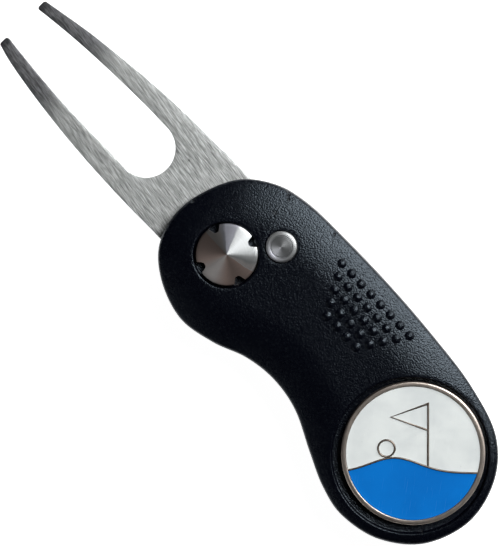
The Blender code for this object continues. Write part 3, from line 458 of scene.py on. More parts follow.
class Graph:
    """A node tree that is written as expressions."""

    def __init__(self, tree):
        self.tree = tree

    def node(self, kind, settings=None, values=None, output=0):
        """One node: its settings first, then the values or links of its sockets."""
        made = self.tree.nodes.new(kind)
        for key, value in (settings or {}).items():
            if key == "stops":
                ramp = made.color_ramp.elements
                while len(ramp) < len(value):
                    ramp.new(0.5)
                for stop, (place, colour) in zip(ramp, value):
                    stop.position = place
                    stop.color = (*colour, 1.0)
            else:
                setattr(made, key, value)
        pairs = values.items() if isinstance(values, dict) else enumerate(values or [])
        for key, value in pairs:
            socket = pick(made.inputs, key)
            if isinstance(value, Value):
                self.tree.links.new(value.socket, socket)
            else:
                socket.default_value = value
        return Value(self, pick(made.outputs, output))

    def apart(self, vector):
        """The three parts of a vector."""
        made = self.tree.nodes.new("ShaderNodeSeparateXYZ")
        self.tree.links.new(vector.socket, made.inputs[0])
        return [Value(self, made.outputs[k]) for k in range(3)]


class Look(Graph):
    """A surface finish on a Principled shader."""

    def __init__(self, name, **constants):
        self.material = bpy.data.materials.new(name)
        self.material.use_nodes = True
        super().__init__(self.material.node_tree)
        self.tree.nodes.clear()
        self.shader = self.tree.nodes.new("ShaderNodeBsdfPrincipled")
        end = self.tree.nodes.new("ShaderNodeOutputMaterial")
        self.tree.links.new(self.shader.outputs[0], end.inputs["Surface"])
        for key, value in constants.items():
            self.shader.inputs[key.replace("_", " ")].default_value = value
        self.surface = self.node("ShaderNodeTexCoord", output="Object")

    def feed(self, key, value):
        self.tree.links.new(value.socket, self.shader.inputs[key])

    def place(self, centre=(0.0, 0.0, 0.0), stretch=(1.0, 1.0, 1.0), turn=0.0):
        """Millimetres from a point, given from the pivot, then turned and stretched."""
        x, y, z = (-value for value in put(centre))
        moved = self.node("ShaderNodeMapping", None, {"Vector": self.surface, "Location": (x, y, z)})
        scale = tuple(value / MM for value in stretch)
        if turn:
            moved = self.node(
                "ShaderNodeMapping", None, {"Vector": moved, "Rotation": (0.0, 0.0, turn)},
            )
        return self.node("ShaderNodeMapping", None, {"Vector": moved, "Scale": scale})

    def noise(self, vector, scale, detail=2.0, roughness=0.5, distortion=0.0):
        return self.node(
            "ShaderNodeTexNoise", None,
            {"Vector": vector, "Scale": scale, "Detail": detail, "Roughness": roughness,
             "Distortion": distortion},
        )

    def mix(self, factor, first, second):
        """Colours, or a colour and a socket, mixed by a factor."""
        def full(colour):
            return colour if isinstance(colour, Value) else (*colour, 1.0)
        return self.node(
            "ShaderNodeMix", {"data_type": "RGBA"},
            {"Factor": factor, "A": full(first), "B": full(second)},
        )

    def bump(self, height, depth, strength=1.0, under=None):
        """A normal from a height of 0 to 1 that is worth a depth in millimetres."""
        values = {"Height": height, "Strength": strength, "Distance": depth * MM}
        if under is not None:
            values["Normal"] = under
        return self.node("ShaderNodeBump", None, values)

    def spot(self, vector, centre, radius):
        """1 at a point of the front, 0 from a radius outwards."""
        x, y = centre
        away = self.node(
            "ShaderNodeVectorMath", {"operation": "DISTANCE"}, [vector, (x, y, 0.0)], output="Value",
        )
        return away.between(radius, 0.0)


# ---- finishes ---------------------------------------------------------------------------------

DINGS = [
    ((-0.75, 15.15), 0.5), ((-0.2, 14.75), 0.45), ((0.3, 14.3), 0.4), ((0.45, 11.0), 0.45),
    ((10.3, 16.0), 0.35), ((-10.9, 1.9), 0.4), ((58.3, -8.2), 0.35),
]


def cover_look():
    """Black moulded plastic with a fine pebble grain, handled until the edges shine."""
    look = Look("cover_plastic", IOR=1.5, Specular_IOR_Level=0.34, Specular_Tint=(0.74, 0.88, 1.0, 1.0))
    p = look.place()
    warp = look.noise(p, 1.4, 2.0)
    pebble = look.node(
        "ShaderNodeTexVoronoi", {"feature": "SMOOTH_F1"},
        {"Vector": p, "Scale": 3.5, "Smoothness": 0.15, "Randomness": 1.0}, output="Distance",
    )
    fine = look.noise(p, 6.5, 2.0, 0.6)
    broad = look.noise(p, 0.12, 3.0)
    scuff = look.noise(look.place(stretch=(1.0, 3.0, 1.0), turn=0.6), 0.9, 4.0, 0.7).between(0.62, 0.78)
    flat = look.place(stretch=(1.0, 1.0, 0.0))
    wander = look.node("ShaderNodeTexNoise", None, {"Vector": p, "Scale": 2.2}, output="Color")
    wander = look.node("ShaderNodeVectorMath", {"operation": "SUBTRACT"}, [wander, (0.5, 0.5, 0.5)])
    ragged = look.node(
        "ShaderNodeVectorMath", {"operation": "MULTIPLY_ADD"}, [wander, (0.9, 0.9, 0.0), flat],
    )
    marks = None
    for centre, radius in DINGS:
        mark = look.spot(ragged, centre, radius)
        marks = mark if marks is None else marks + mark
    tops = look.noise(p, 2.6, 2.0, 0.6).between(0.52, 0.7)
    worn = look.mix(tops * 0.5 + scuff * 0.15, (0.0004, 0.0006, 0.0028), (0.009, 0.011, 0.015))
    look.feed("Base Color", look.mix(marks * 0.9, worn, (0.035, 0.038, 0.042)))
    look.feed("Roughness", 0.22 + broad * 0.06 + fine * 0.06)
    height = (1.0 - pebble) * 0.9 + fine * 0.4 + warp * 0.1
    grain = look.bump(height, 0.06, 0.9)
    look.feed("Normal", look.bump(1.0 - marks, 0.25, 0.9, grain))
    return look.material


def fork_look():
    """Stainless sheet brushed along its length; painted shade darkens the tines towards their tips."""
    look = Look("brushed_stainless", Metallic=1.0)
    lay = math.radians(7.0)
    hair = look.noise(look.place(stretch=(0.6, 9.0, 9.0), turn=lay), 1.0, 1.5, 0.6)
    streak = look.noise(look.place(stretch=(0.35, 5.5, 5.5), turn=lay), 1.0, 2.0, 0.6)
    cloud = look.noise(look.place(stretch=(0.1, 0.3, 0.3), turn=lay), 1.0, 2.0)
    x = look.apart(look.place())[0]
    # tip masks painted shade: the colour goes from the light tone to the dark one towards the tips
    tip = (x + 5.0 * (cloud - 0.5)).between(-36.5, -44.0)
    light = look.mix(streak.between(0.34, 0.66), (0.37, 0.385, 0.378), (0.68, 0.695, 0.69))
    light = look.mix(hair.between(0.54, 0.66) * 0.55, light, (0.12, 0.125, 0.122))
    light = look.mix(hair.between(0.46, 0.34) * 0.8, light, (0.84, 0.86, 0.855))
    dark = look.mix(hair.between(0.36, 0.64), (0.06, 0.061, 0.067), (0.32, 0.325, 0.34))
    body = look.mix(tip * 0.92, light, dark)
    body = look.mix(x.between(-52.6, -53.6) * 0.6, body, (0.04, 0.04, 0.042))
    speck = look.spot(look.place(stretch=(1.0, 1.0, 0.0)), (-16.6, 6.2), 0.35)
    look.feed("Base Color", look.mix(speck * 0.8, body, (0.03, 0.03, 0.03)))
    look.feed("Roughness", 0.46 + hair * 0.16 - tip * 0.08)
    fine = look.bump(hair, 0.03, 0.9)
    look.feed("Normal", look.bump(streak, 0.04, 0.6, fine))
    return look.material


def turned_look(name, centre, reflection_wedges, roughness, turns=7.0, darker_inside=0.0):
    """Steel faced on a lathe: fine rings, and painted reflection in wedges round the middle."""
    look = Look(name, Metallic=1.0, Anisotropic=0.5, Anisotropic_Rotation=0.25)
    x, y, _ = look.apart(look.place((*centre, 0.0)))
    radius = (x * x + y * y) ** 0.5
    rings = look.node(
        "ShaderNodeTexNoise", {"noise_dimensions": "1D"},
        {"W": radius, "Scale": turns, "Detail": 4.0},
    )
    swing = look.node("ShaderNodeMath", {"operation": "ARCTAN2"}, [y, x]) / (2 * math.pi) + 0.5
    blur = look.noise(look.place((*centre, 0.0)), 0.7, 2.0)
    # the wedges are painted reflection: light and dark tones by angle round the middle
    stops = [(place, (tone * r, tone * g, tone * b)) for place, tone, (r, g, b) in reflection_wedges]
    painted_reflection = look.node("ShaderNodeValToRGB", {"stops": stops}, [swing + (blur - 0.5) * 0.03])
    # the face's colour is made darker inside this radius
    if darker_inside:
        inner = radius.between(darker_inside, darker_inside - 0.15)
        painted_reflection = look.mix(inner * 0.75, painted_reflection, (0.16, 0.17, 0.18))
    look.feed("Base Color", look.mix((1.0 - rings) * 0.3, painted_reflection, (0.3, 0.28, 0.27)))
    look.feed("Roughness", roughness + rings * 0.1)
    look.feed("Normal", look.bump(rings, 0.012, 0.7))
    return look.material


def metal_look(name, light, dark, roughness, grain=2.0, depth=0.02):
    """A plated or oiled metal with cloudy tone and fine handling marks."""
    look = Look(name, Metallic=1.0)
    p = look.place()
    cloud = look.noise(p, 0.5 * grain, 3.0, 0.6)
    fine = look.noise(p, 6.0 * grain, 3.0, 0.6)
    tarnish = look.noise(p, 0.18 * grain, 4.0, 0.65).between(0.5, 0.7)
    tone = look.mix(cloud, dark, light)
    look.feed("Base Color", look.mix(tarnish * 0.5, tone, tuple(0.6 * value for value in dark)))
    look.feed("Roughness", roughness + fine * 0.15 + tarnish * 0.1)
    look.feed("Normal", look.bump(fine, depth, 0.5))
    return look.material


def enamel_look(name, colour, deep, cloudiness):
    """Fired enamel: glassy, faintly cloudy, with a few pinholes and hairline scratches."""
    look = Look(name, Coat_Weight=0.6, Coat_Roughness=0.06)
    p = look.place()
    cloud = look.noise(p, 0.16, 3.0, 0.55, 0.3).between(0.3, 0.75)
    fleck = look.noise(p, 2.6, 2.0).between(0.72, 0.78)
    scratch = look.noise(look.place(stretch=(0.4, 12.0, 1.0), turn=0.9), 0.6, 2.0).between(0.66, 0.72)
    body = look.mix(cloud * cloudiness, colour, deep)
    look.feed("Base Color", look.mix(fleck * 0.25, body, tuple(0.6 * value for value in deep)))
    look.feed("Roughness", 0.16 + scratch * 0.18 + cloud * 0.05)
    look.feed("Normal", look.bump(look.noise(p, 0.7, 2.0), 0.03, 0.35))
    return look.material


COVER = cover_look()
FORK = fork_look()
# tints of the painted reflection wedges on the cap and the button
STEEL, TAN, COOL, LILAC = (1.0, 0.95, 0.93), (1.0, 0.76, 0.67), (0.95, 0.99, 1.0), (0.86, 0.88, 1.0)
CAP_REFLECTION_WEDGES = [
    (0.0, 0.3, TAN), (0.09, 0.26, TAN), (0.17, 0.29, TAN), (0.225, 0.25, STEEL), (0.3, 0.46, STEEL),
    (0.38, 0.6, TAN), (0.43, 0.5, TAN), (0.51, 0.68, TAN), (0.537, 0.7, TAN), (0.541, 1.0, COOL),
    (0.546, 0.7, STEEL), (0.56, 0.7, STEEL), (0.585, 0.36, COOL),
    (0.615, 0.5, COOL), (0.64, 0.95, COOL), (0.72, 0.85, COOL), (0.8, 1.0, COOL), (0.812, 1.0, COOL),
    (0.826, 0.6, LILAC), (0.885, 0.95, LILAC), (0.9, 0.45, LILAC), (0.94, 0.38, STEEL),
    (0.98, 0.32, STEEL),
]
BUTTON_REFLECTION_WEDGES = [
    (0.0, 0.6, COOL), (0.25, 0.5, LILAC), (0.5, 0.62, COOL), (0.75, 0.55, COOL), (1.0, 0.6, COOL),
]
CAP = turned_look("turned_cap", (0.0, 0.0), CAP_REFLECTION_WEDGES, 0.34)
BUTTON = turned_look("turned_button", BUTTON_CENTRE, BUTTON_REFLECTION_WEDGES, 0.42, 9.0, darker_inside=1.95)
NICKEL = metal_look("warm_nickel", (0.8, 0.7, 0.62), (0.47, 0.41, 0.36), 0.26)
LINES = metal_look("darkened_nickel", (0.3, 0.25, 0.21), (0.16, 0.13, 0.11), 0.35)
ZINC = metal_look("zinc_plate", (0.62, 0.63, 0.66), (0.4, 0.41, 0.43), 0.3)
SPRING = metal_look("oiled_spring_steel", (0.2, 0.2, 0.215), (0.1, 0.1, 0.11), 0.3)
BRONZE = metal_look("washer_bronze", (0.62, 0.44, 0.24), (0.4, 0.27, 0.14), 0.35)
MAGNET = metal_look("nickel_magnet", (0.66, 0.66, 0.67), (0.5, 0.5, 0.51), 0.18, 1.0, 0.01)
WHITE = enamel_look("white_enamel", (0.89, 0.935, 0.92), (0.7, 0.745, 0.75), 0.7)
BLUE = enamel_look("blue_enamel", (0.004, 0.2, 0.69), (0.002, 0.155, 0.57), 0.6)


# ---- covers -----------------------------------------------------------------------------------

def crown(depth):
    """Height of the front face at a distance in from the outline."""
    return THICKNESS - CROWN_DROP * np.clip(1 - depth / CROWN_WIDTH, 0, 1) ** 2


OUTER = smooth_loop(OUTLINE, 10)


def front_height(points):
    return crown(distance_to(np.asarray(points, float), OUTER))


def slot_loop():
    """Where the fork swings and lies."""
    reach, wall, shoulder, beyond = 55.0, 10.95, 12.25, 40.0
    swing = arc((0.0, 0.0), reach, math.radians(-44.0), math.asin(wall / reach), 24)
    return np.concatenate([
        [(-beyond, -beyond), (beyond, -beyond)], swing,
        [(12.0, wall), (4.5, shoulder), (-beyond, shoulder)],
    ])


def leaf_box(start, end, width):
    """A rectangle along the line from the pivot through the button."""
    half = width / 2
    return turned([(start, -half), (end, -half), (end, half), (start, half)], BUTTON_ANGLE)


def sunk(shell, centre, radius, floor, steps, lip=0.25, foot=0.3):
    """A round pocket with a rounded lip and foot; gives the row of points at its mouth."""
    mouth = front_height(circle(centre, radius + lip, steps))
    turns = np.linspace(0, math.pi / 2, 5)
    loops = [circle(centre, radius + lip * (1 - math.sin(t)), steps) for t in turns]
    heights = [mouth - lip * (1 - math.cos(t)) for t in turns]
    loops += [circle(centre, radius - foot * (1 - math.cos(t)), steps) for t in turns]
    heights += [floor + foot * (1 - math.sin(t)) for t in turns]
    made = [shell.ring(loop, height) for loop, height in zip(loops, heights)]
    for high, low in zip(made, made[1:]):
        shell.strip(low, high)
    shell.fan(made[-1], floor)
    return made[0]


def front_cover():
    """The crowned shell: the rim's curve stops where it meets the crown's slope."""
    shell = Shell()
    meet = math.radians(72.66)
    depth = FRONT_EDGE_RADIUS * (1 - math.cos(meet))
    wall_top = float(crown(depth)) - FRONT_EDGE_RADIUS * math.sin(meet)
    bottom = PARTING + PARTING_HALF_GAP
    loops = [inset(OUTER, 0.15), inset(OUTER, 0.04), OUTER]
    heights = [bottom, bottom + 0.04, bottom + 0.15]
    for turn in np.linspace(0, meet, 7):
        loops.append(inset(OUTER, FRONT_EDGE_RADIUS * (1 - math.cos(turn))))
        heights.append(wall_top + FRONT_EDGE_RADIUS * math.sin(turn))
    base, rim = shell.rows(loops, heights)
    shell.fill(base, [], 0, None, up=False)
    holes = [
        sunk(shell, *PIVOT_POCKET, 120),
        sunk(shell, BUTTON_CENTRE, BUTTON_HOLE_RADIUS, 9.0, 72, lip=0.18),
        sunk(shell, *MARKER_POCKET, 200),
    ]
    shell.fill(rim, holes, 0.6, front_height)
    below = 7.0
    (flange, flange_roof), (magnet, magnet_floor) = BUTTON_FLANGE_SEAT, MAGNET_SEAT
    cover = show("front_cover_shell", shell.mesh("front_cover_shell"))
    carve(cover, [
        prism(slot_loop(), REAR_DECK, SLOT_TOP),
        prism(circle((0.0, 0.0), PIVOT_BORE, 48), below, 11.0),
        prism(circle(BUTTON_CENTRE, flange, 64), below, flange_roof),
        prism(circle(MARKER_POCKET[0], magnet, 64), magnet_floor, 11.0),
        prism(circle(*STOP_PIN_SEAT, 32), below, 9.6),
        *[prism(circle(place, COVER_SCREW_HOLE, 32), 5.0, 9.1) for place in COVER_SCREWS],
    ])
    return finished(cover, COVER)


def rear_cover():
    """The back shell, with the seats of the springs, pin and screws."""
    above = 7.0
    spring, spring_floor = SPRING_SEAT
    barrel_head, barrel_depth = BARREL_SCREW_SEAT
    head, depth = COVER_SCREW_SEAT
    leaf_hole = turned([(LEAF_HOLE_ORBIT, 0.0)], BUTTON_ANGLE)[0]
    shell = Shell()
    top = PARTING - PARTING_HALF_GAP
    turns = np.linspace(math.pi / 2, 0, 9)
    loops = [inset(OUTER, REAR_EDGE_RADIUS * (1 - math.cos(t))) for t in turns]
    heights = [REAR_EDGE_RADIUS * (1 - math.sin(t)) for t in turns]
    loops += [OUTER, inset(OUTER, 0.04), inset(OUTER, 0.15)]
    heights += [top - 0.15, top - 0.04, top]
    base, rim = shell.rows(loops, heights)
    shell.fill(rim, [], 0, None)
    shell.fill(base, [], 1.2, lambda points: np.zeros(len(points)), up=False)
    cover = show("rear_cover_shell", shell.mesh("rear_cover_shell"))
    groove = turned([(2.8, -0.65), (7.0, -0.65), (7.0, 0.65), (2.8, 0.65)], SPRING_START)
    carve(cover, [
        prism(slot_loop(), REAR_DECK, above),
        prism(circle((0.0, 0.0), 1.5, 32), 1.2, 3.0),
        prism(circle((0.0, 0.0), spring, 64), spring_floor, above),
        prism(groove, spring_floor, above),
        prism(leaf_box(LEAF_POCKET_START, 13.23, LEAF_POCKET_WIDTH), 1.2, above),
        prism(leaf_box(LEAF_POCKET_START, 16.98, LEAF_POCKET_WIDTH), 3.3, above),
        prism(circle(leaf_hole, LEAF_HOLE_RADIUS, 24), 1.1, 3.8),
        prism(circle(*STOP_PIN_SEAT, 32), 3.3, above),
        prism(circle((0.0, 0.0), barrel_head, 64), -1.0, barrel_depth),
        *[prism(circle(place, head, 48), -1.0, depth) for place in COVER_SCREWS],
        *[prism(circle(place, COVER_SCREW_HOLE, 32), 1.4, above) for place in COVER_SCREWS],
    ])
    return finished(cover, COVER)


# ---- fork -------------------------------------------------------------------------------------

FORK_TIP = -54.35
FORK_ROOT = -12.0
GAP_CENTRE = (-23.3, 2.15)
GAP_RADIUS = 5.15
SHOULDER_RADIUS = 11.9
SHOULDER_Y = 11.85
TANG_X = -math.sqrt(SHOULDER_RADIUS ** 2 - SHOULDER_Y ** 2)
FORK_THICKNESS = FORK_TOP - FORK_BOTTOM
TIP_THINNING = 0.7
TIP_DROP = 0.5
TAPER_START = -25.0


def fork_edge(stations, start):
    """Points of one edge, given by their share of the way to the tip."""
    return [(start + share * (FORK_TIP - start), y) for share, y in stations]


def tip_corners(y):
    """The blunt rounded end of a tine."""
    x, spread, radius = FORK_TIP + 0.5, 0.48, 0.5
    upper = arc((x, y + spread), radius, math.radians(90), math.radians(180), 6)
    lower = arc((x, y - spread), radius, math.radians(180), math.radians(270), 6)
    return np.concatenate([upper, lower])


def fork_outline():
    """The blade, counter-clockwise from its shoulder."""
    low_tip, high_tip = tip_corners(-3.3), tip_corners(5.95)
    lower = [(0.0, -6.9), (0.196, -7.1), (0.387, -7.0), (0.579, -6.6), (0.77, -5.85), (0.914, -5.0)]
    upper = [
        (0.0, SHOULDER_Y), (0.196, 11.45), (0.387, 10.95), (0.579, 10.0), (0.77, 8.8), (0.914, 7.6),
    ]
    high_inner = [(0.164, 7.25), (0.425, 6.85), (0.686, 6.2), (0.882, 5.45)]
    low_inner = [(0.164, -3.0), (0.425, -3.15), (0.686, -2.95), (0.882, -2.55)]
    lower_edge = smooth_run(fork_edge(lower, FORK_ROOT) + [tuple(low_tip[-1])], 8)
    upper_edge = smooth_run(fork_edge(upper, FORK_ROOT) + [tuple(high_tip[0])], 8)
    high_edge = smooth_run(fork_edge(high_inner, GAP_CENTRE[0]) + [tuple(high_tip[-1])], 8)
    low_edge = smooth_run(fork_edge(low_inner, GAP_CENTRE[0]) + [tuple(low_tip[0])], 8)
    gap = arc(GAP_CENTRE, GAP_RADIUS, math.radians(92), math.radians(-92), 40)
    return np.concatenate([
        [(TANG_X, -6.9), (TANG_X, 2.0), (TANG_X, SHOULDER_Y)],
        upper_edge[:-1], high_tip, high_edge[::-1][1:], gap, low_edge[:-1], low_tip,
        lower_edge[::-1][1:],
    ])


def stem_sweep():
    """The path that the button's stem needs round the tang."""
    reach = 1.65
    start = BUTTON_ANGLE - FORK_TRAVEL
    end = BUTTON_ANGLE + math.radians(12.0)
    tip = (BUTTON_ORBIT * math.cos(start), BUTTON_ORBIT * math.sin(start))
    return np.concatenate([
        arc(tip, reach, start + math.pi, start + 2 * math.pi, 16),
        arc((0.0, 0.0), BUTTON_ORBIT + reach + 4.0, start, end, 60),
        arc((0.0, 0.0), BUTTON_ORBIT - reach, end, start + math.radians(2.0), 100),
    ])


def fork():
    """A plate with rounded edges that thins and bends down a little towards its tips."""
    loop = fork_outline()
    edge = 0.14

    def heights(points, side, lift):
        share = np.clip((TAPER_START - np.asarray(points)[:, 0]) / (TAPER_START - FORK_TIP), 0, 1)
        half = (FORK_THICKNESS - TIP_THINNING * share) / 2 - edge + lift
        return (FORK_BOTTOM + FORK_TOP) / 2 - TIP_DROP * share ** 2 + side * half

    shell = Shell()
    rows = []
    for side, turns in ((-1, np.linspace(math.pi / 2, 0, 6)), (1, np.linspace(0, math.pi / 2, 6))):
        for turn in turns:
            moved = inset(loop, edge * (1 - math.cos(turn)))
            rows.append(shell.ring(moved, heights(moved, side, edge * math.sin(turn))))
    for low, high in zip(rows, rows[1:]):
        shell.strip(low, high)
    shell.fill(rows[-1], [], 0.9, lambda points: heights(points, 1, edge))
    shell.fill(rows[0], [], 0.9, lambda points: heights(points, -1, edge), up=False)
    blade = show("fork_blade", shell.mesh("fork_blade"))
    carve(blade, [prism(circle((0.0, 0.0), TANG_RADIUS, 128), FORK_BOTTOM, FORK_TOP)], "UNION")
    through = (4.5, 8.4)
    leg = SPRING_START + 2 * math.pi * SPRING_TURNS
    leg_place = (SPRING_RADIUS * math.cos(leg), SPRING_RADIUS * math.sin(leg))
    notch = [(6.2, -1.1), (8.6, -1.1), (8.6, 1.1), (6.2, 1.1)]
    carve(blade, [
        prism(stem_sweep(), *through),
        prism(circle((0.0, 0.0), PIVOT_BORE, 48), *through),
        prism(circle(leg_place, 0.45, 24), *through),
        prism(turned(notch, BUTTON_ANGLE), *through),
        prism(turned(notch, BUTTON_ANGLE - FORK_TRAVEL), *through),
    ])
    return finished(blade, FORK)


# ---- turned pieces ----------------------------------------------------------------------------

def pivot_cap():
    """The fork's barrel with its coned head and four spanner notches."""
    under, rise = 10.5, 0.3
    rim = rounded((CAP_RADIUS, CAP_RIM), (CAP_RADIUS, under), (0.0, CAP_RIM + rise), 0.22)
    cone = [(r, CAP_RIM + rise * (1 - r / CAP_RADIUS)) for r in np.linspace(4.6, 0.5, 10)]
    profile = [
        (0.0, 9.0), (1.5, 9.0), (1.5, CAP_BOTTOM), (BARREL_RADIUS, CAP_BOTTOM),
        (BARREL_RADIUS, under), (CAP_RADIUS - 0.15, under), (CAP_RADIUS, under + 0.15),
        *rim, *cone, (0.25, 12.09), (0.0, 12.09),
    ]
    cap = show("pivot_head", lathe("pivot_head", profile, (0.0, 0.0), 144))
    flank = [(6.0, 1.35), (5.4, 1.15), (4.5, 0.6), (4.25, 0.42), (4.18, 0.2)]
    slot = [(6.0, -1.35), *flank, *[(x, -y) for x, y in flank[:0:-1]]]
    carve(cap, [
        prism(turned(slot, math.radians(-18.0 + 90.0 * k)), 9.8, 13.0) for k in range(4)
    ])
    return finished(cap, CAP)


def release_button():
    """The button with its dished face, its flange under the cover, and its stem."""
    top = BUTTON_TOP
    shoulder = rounded((BUTTON_RADIUS, top), (BUTTON_RADIUS, 10.0), (0.0, top), 0.4, 7)
    dish = [(2.05, top), (1.98, top - 0.05), (1.9, top - 0.14), (1.8, top - 0.14), (1.72, top - 0.05)]
    bowl = [(r, top - 0.05 - 0.06 * (1 - (r / 1.65) ** 2)) for r in np.linspace(1.62, 0.2, 9)]
    profile = [
        (0.0, 4.1), (1.1, 4.1), (1.3, 4.3), (1.3, 9.3), (3.15, 9.3), (3.3, 9.45), (3.3, 9.8),
        (3.2, 9.9), (BUTTON_RADIUS, 9.9), *shoulder, *dish, *bowl, (0.0, top - 0.11),
    ]
    return show("button_body", lathe("button_body", profile, BUTTON_CENTRE, 96), BUTTON)


def marker_base():
    """The struck disc with its raised rim."""
    rim, wall = (MARKER_RADIUS, MARKER_TOP), (FIELD_RADIUS, MARKER_TOP)
    outer = rounded(rim, (MARKER_RADIUS, 10.0), wall, 0.3)
    inner = rounded(wall, rim, (FIELD_RADIUS, FIELD_FLOOR), 0.12)
    profile = [
        (0.0, MARKER_BOTTOM), (12.25, MARKER_BOTTOM), (12.43, 9.97), (MARKER_RADIUS, 10.15),
        *outer, *inner, *[(r, FIELD_FLOOR) for r in (FIELD_RADIUS, 8.0, 4.0, 0.0)],
    ]
    return show("marker_disc", lathe("marker_disc", profile, MARKER_CENTRE, 192), NICKEL)


def bar_outline(start, end, half, fillet, spacing=0.5):
    """A bar along X, counter-clockwise, with rounded corners and evenly spaced points."""
    middle = (start + end) / 2
    corners = [(start, -half, 180), (end, -half, 270), (end, half, 0), (start, half, 90)]
    bends = [
        arc(
            (x + math.copysign(fillet, middle - x), y - math.copysign(fillet, y)), fillet,
            math.radians(turn), math.radians(turn + 90), 4,
        )
        for x, y, turn in corners
    ]
    outline = []
    for bend, after in zip(bends, bends[1:] + bends[:1]):
        gap = after[0] - bend[-1]
        steps = max(2, round(float(np.linalg.norm(gap)) / spacing))
        outline += [*bend, *(bend[-1] + gap * k / steps for k in range(1, steps))]
    return np.array(outline)


def leaf_spring():
    """The lock's leaf: a flat bar with its screw hole, and the tooth that stands in the fork."""
    edge = 0.05
    heights = [LEAF_BOTTOM, LEAF_BOTTOM + edge, LEAF_TOP - edge, LEAF_TOP]
    bar = turned(bar_outline(TANG_RADIUS - 1.4, BUTTON_ORBIT + 7.1, 1.7, 0.4), BUTTON_ANGLE)
    hole = turned(circle((LEAF_HOLE_ORBIT, 0.0), LEAF_HOLE_RADIUS, 24), BUTTON_ANGLE)
    shell = Shell()
    low, high = shell.rows([inset(bar, edge), bar, bar, inset(bar, edge)], heights)
    hole_low, hole_high = shell.rows([hole] * 4, heights)
    shell.fill(high, [hole_high], 0.5, lambda points: np.full(len(points), LEAF_TOP))
    shell.fill(low, [hole_low], 0.5, lambda points: np.full(len(points), LEAF_BOTTOM), up=False)
    leaf = show("leaf_bar", shell.mesh("leaf_bar"))
    tooth = Shell()
    root = leaf_box(TANG_RADIUS - 1.3, TANG_RADIUS, 2.0)
    tip = leaf_box(TANG_RADIUS - 1.15, TANG_RADIUS - 0.15, 1.7)
    tooth.block([root, root, tip], [3.6, 6.7, 6.9])
    carve(leaf, [tooth.mesh("tooth")], "UNION")
    return finished(leaf, SPRING)


# ---- the marker's picture ---------------------------------------------------------------------

LINE = 0.45
POLE_X = 2.6
POLE_TOP = math.sqrt(9.0 ** 2 - POLE_X ** 2)
FLAG = (6.4, 4.6)
BALL = (-4.6, 1.25)


def hill(x):
    return -3.4 + 2.6 * np.exp(-((x + 3.2) / 6.0) ** 2)


def hill_end(radius, offset, side):
    """Where the skyline meets a circle on one side."""
    near, far = 0.0, side * radius
    for _ in range(30):
        x = (near + far) / 2
        if math.hypot(x, float(hill(x)) + offset) < radius:
            near = x
        else:
            far = x
    return near


def skyline(radius, offset, steps=60):
    """The hill's top edge, moved up by an offset and ended on a circle."""
    x = np.linspace(hill_end(radius, offset, -1), hill_end(radius, offset, 1), steps + 1)
    return np.stack([x, hill(x) + offset], 1)


def on_marker(points):
    return turned(points, ART_TURN, MARKER_CENTRE)


def ball_edge():
    """The ball's outline, just clear of the hill."""
    x, radius = BALL
    return circle((x, float(hill(x)) + LINE / 2 + radius + 0.3), radius + 0.2, 48)


def flag_edge():
    length, height = FLAG
    return np.array([
        (POLE_X, POLE_TOP), (POLE_X - length, POLE_TOP - height / 2), (POLE_X, POLE_TOP - height),
    ])


def rim_angles(line):
    """Where the right and left ends of a skyline lie on its circle."""
    return [math.atan2(line[k][1], line[k][0]) for k in (-1, 0)]


def field(loop, holes, name, look):
    """An enamel field: it climbs a little where it meets the metal."""
    shell = Shell()
    edges = [on_marker(loop), *[on_marker(hole) for hole in holes]]

    def height(points):
        near = np.min([distance_to(points, edge) for edge in edges], 0)
        return 11.34 + 0.06 * np.exp(-near / 0.35)

    rims = []
    for edge in edges:
        low, high = shell.ring(edge, 11.16), shell.ring(edge, 11.4)
        shell.strip(low, high)
        rims.append((low, high))
    shell.fill(rims[0][1], [high for low, high in rims[1:]], 0.3, height)
    shell.fill(rims[0][0], [low for low, high in rims[1:]], 0, None, up=False)
    return show(name, smoothed(shell.mesh(name), 40.0), look)


def enamel():
    """The four fields, each with the solid that it stands for."""
    radius = FIELD_RADIUS - 0.06
    half = LINE / 2 - 0.08
    line = skyline(radius, half)
    right, left = rim_angles(line)
    sky = np.concatenate([line, arc((0.0, 0.0), radius, right, left + 2 * math.pi, 150)[1:-1]])
    line = skyline(radius, -half)
    right, left = rim_angles(line)
    ground = np.concatenate([line[::-1], arc((0.0, 0.0), radius, left, right, 110)[1:-1]])
    return [
        (field(sky, [ball_edge()], "sky_field", WHITE), "enamel_sky"),
        (field(ground, [], "hill_field", BLUE), "enamel_hill"),
        (field(flag_edge(), [], "flag_field", WHITE), "enamel_flag"),
        (field(ball_edge(), [], "ball_field", WHITE), "enamel_ball"),
    ]


# ---- pieces that repeat or follow a path ------------------------------------------------------

